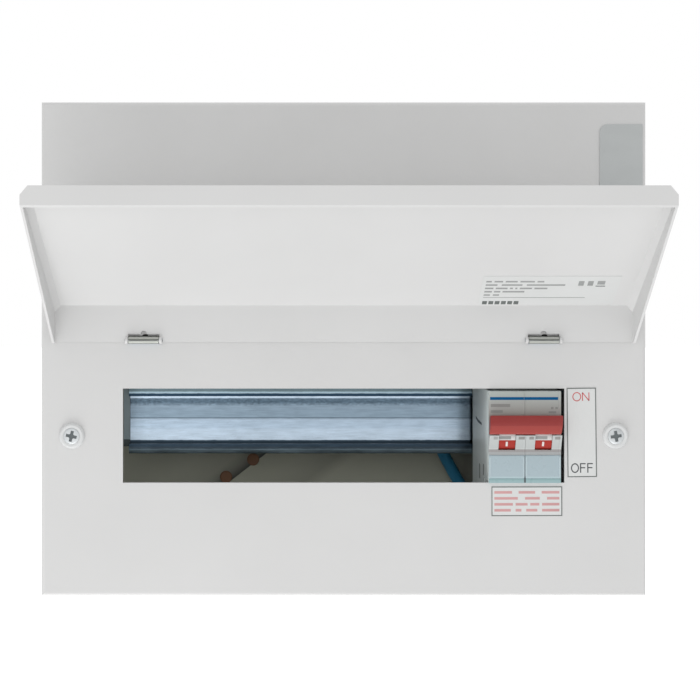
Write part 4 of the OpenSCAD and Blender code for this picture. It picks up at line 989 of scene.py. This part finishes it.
def outlined_label(name, point, node, w, h, tilt):
    """A sticker with a printed outline, set a little askew; gives the plane of its face."""
    low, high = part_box(node)
    place = on_plane(on_surface(point, [nodes["front_cover"]])[0], OUT, tilt)
    thick = high[1] - low[1]
    verts = [place @ Vector((x, y, t)) for t in (0, thick) for x, y in rectangle(w + OUTLINE_W, h + OUTLINE_W)]
    shown[point] = piece(name, verts, shell(4), "label_paper", replaces=[node], rounding=0.00004)
    face = place @ Matrix.Translation((0, 0, thick))
    printed(name + "_outline", ribbon(rectangle(w, h), OUTLINE_W, closed=True), face, "ink_frame")
    return face


outlined_label("state_sticker", "state_label", "on_off_label", 0.0138, 0.0429, TILT)
for word, letters, w, h, gap, line, ink in WORDS:
    spot, _ = on_surface(word, [shown["state_label"]])
    widths = [w * LETTER_W[kind] for kind in letters]
    x = -(sum(widths) + gap * (len(letters) - 1)) / 2
    strokes = []
    for kind, letter_w in zip(letters, widths):
        strokes += letter(kind, letter_w, h, x, line)
        x += letter_w + gap
    shown[word] = printed(word, strokes, on_plane(spot, OUT, TILT), ink)

ruled_face = outlined_label("ruled_sticker", "ruled_label", "ruled_label", 0.0339, 0.0139, TILT / 4)
rules = [bar for row, lengths in enumerate(RULES)
         for bar in bars(lengths, RULE_W, -RULE_W / 2, (1.5 - row) * RULE_STEP, RULE_H)]
printed("ruled_rows", rules, ruled_face, "rule_red")

# Plain bars on the lid's label, where the photograph has small print
LID_X, LID_Y, LID_STEP, LID_H = -0.0285, 0.0064, 0.0032, 0.0014
LID_ROWS = (  # width of a row and lengths of its bars in millimetres
    (27.4, (2.6, 4.0, 5.6, 6.8, 3.2)), (37.7, (5.6, 9.8, 18.2)), (29.7, (4.0, 5.6, 1.4, 1.0, 5.8, 6.2)),
    (19.1, (3.6, 3.0, 10.4)), (7.4, (3.0, 3.0)),
)
LID_MARKS = ((2.6, 4.4, 16.6, 4.8), (2.6, 4.4, 21.0, 4.8), (3.6, 3.4, 26.0, 5.4))
LID_RULE, LID_DASH = (48.8, 0.5, -4.1, -8.8), (4.5, 0.8, 26.0, 2.2)
DARK_BARS = (2.3,) * 6, 0.0175, LID_X, -0.0139, 0.0032
lid_face = on_plane(*on_surface("lid_label", [nodes["lid_label"]]))
rows = [bar for row, (width, lengths) in enumerate(LID_ROWS)
        for bar in bars(lengths, width * MM, LID_X, LID_Y - row * LID_STEP, LID_H)]
shown["lid_label"] = printed("lid_rows", rows + blocks(LID_MARKS), lid_face, "ink_mid", "lid")
printed("lid_rule", blocks([LID_RULE]), lid_face, "ink_mid", "lid")
dark = bars(*DARK_BARS) + blocks([LID_DASH])
printed("lid_dark_rows", dark, lid_face, "ink_frame", "lid")

# --- floor, sky and lamps
FLOOR_Z, FLOOR_SIZE = -1.0, 24.0
FLOOR_LIT, FLOOR_SEEN = (0.8,) * 3, (1.45,) * 3
SKY, SEEN = 0.90, 1.0


def seen_or_lit(tree):
    """1 for rays from the camera, a mirror or a window, 0 for light on the object."""
    rays = tree.nodes.new("ShaderNodeLightPath").outputs
    total = maths("MAXIMUM", rays["Is Camera Ray"], rays["Is Glossy Ray"])
    return maths("MAXIMUM", total, rays["Is Transmission Ray"])


world = bpy.data.worlds.new("studio")
bpy.context.scene.world = world
world.use_nodes = True
sky = world.node_tree.nodes["Background"].inputs
feed(sky["Color"], (1, 1, 1))
feed(sky["Strength"], remap(seen_or_lit(world.node_tree), SKY, SEEN, 0, 1))

floor = put("floor", bpy.data.meshes.new("floor"))
floor.data.from_pydata([(x, y, FLOOR_Z) for x, y in rectangle(FLOOR_SIZE, FLOOR_SIZE)], [], [(0, 1, 2, 3)])
floor_mat = bpy.data.materials.new("floor_paint")
floor_mat.use_nodes = True
tree = floor_mat.node_tree
tree.nodes.remove(tree.nodes["Principled BSDF"])
mix = new_node(tree, "ShaderNodeMixShader", Fac=seen_or_lit(tree))
for i, color in ((1, FLOOR_LIT), (2, FLOOR_SEEN)):
    feed(mix.inputs[i], new_node(tree, "ShaderNodeBsdfDiffuse", Color=color).outputs[0])
feed(tree.nodes["Material Output"].inputs["Surface"], mix.outputs[0])
floor.data.materials.append(floor_mat)
floor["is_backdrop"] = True


def lamp(name, at, towards, size, watts, height=None):
    """Soft lamp that faces a point: square, or rectangular with its own height."""
    data = bpy.data.lights.new(name, "AREA")
    data.size = size
    data.energy = watts
    if height:
        data.shape = "RECTANGLE"
        data.size_y = height
    o = put(name, data)
    o.location = at
    o.visible_camera = False
    o.rotation_euler = (Vector(towards) - Vector(at)).to_track_quat("-Z", "Y").to_euler()


lamp("front", (-0.5, -2.2, 0.5), (0, -0.1, 0), 1.6, 4)
lamp("low", (-0.2, -0.42, -0.93), (0, -0.14, 0), 0.75, 6)
lamp("inner", (-0.1165, -0.086, -0.0385), (-0.1165, 0, -0.0385), 0.021, 0.0040, 0.051)  # for the rail's end

bpy.context.scene.view_settings.view_transform = "Standard"

# --- measures
NEAR, PLUG_NEAR = 75, 14  # image distance within which a thing's vertices count towards its point
TOUCH = 0.0004  # a vertex with nothing this far in front of it is seen
EDGES = {"lid_left": min, "lid_right": max, "cover_top": min, "cover_bottom": max}


def seen_spots(o, tree, depsgraph):
    """Where the finished vertices that the camera sees show in the image."""
    e = o.evaluated_get(depsgraph)
    rays = [e.matrix_world @ v.co - CAMERA_AT for v in e.to_mesh().vertices]
    e.to_mesh_clear()
    return [in_image(CAMERA_AT + ray) for ray in rays
            if tree.ray_cast(CAMERA_AT, ray / ray.length, ray.length - TOUCH)[0] is None]


def off_by(name, values, target):
    """How far an edge or the middle of a thing is from its image point, along one axis."""
    if target is None:
        return None
    at = EDGES[name](values) if name in EDGES else (min(values) + max(values)) / 2
    return round(at - target, 2)


def record_points():
    """Works out how far each thing shows from its image point, by the finished vertices that show, and keeps none of
    it.
    """
    depsgraph = bpy.context.evaluated_depsgraph_get()
    solid = [o for o in bpy.context.scene.objects
             if o.type in ("MESH", "CURVE") and not o.hide_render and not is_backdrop(o)]
    tree = tree_of(solid)
    for name, (x, y) in POINTS.items():
        spots = seen_spots(shown[name], tree, depsgraph) if name in shown else []
        if x is not None and y is not None:
            near = PLUG_NEAR if name.startswith("plug") else NEAR
            spots = [p for p in spots if abs(p[0] - x) < near and abs(p[1] - y) < near]
        both = zip(zip(*spots), (x, y))
        [off_by(name, values, target) for values, target in both] if spots else None


shown.update(plug_low=nodes["rear_plugs"], plug_high=nodes["rear_plugs"], lid_left=nodes["lid"],
             lid_right=nodes["lid"], cover_top=nodes["front_cover"], cover_bottom=nodes["front_cover"])
record_points()
low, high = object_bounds()
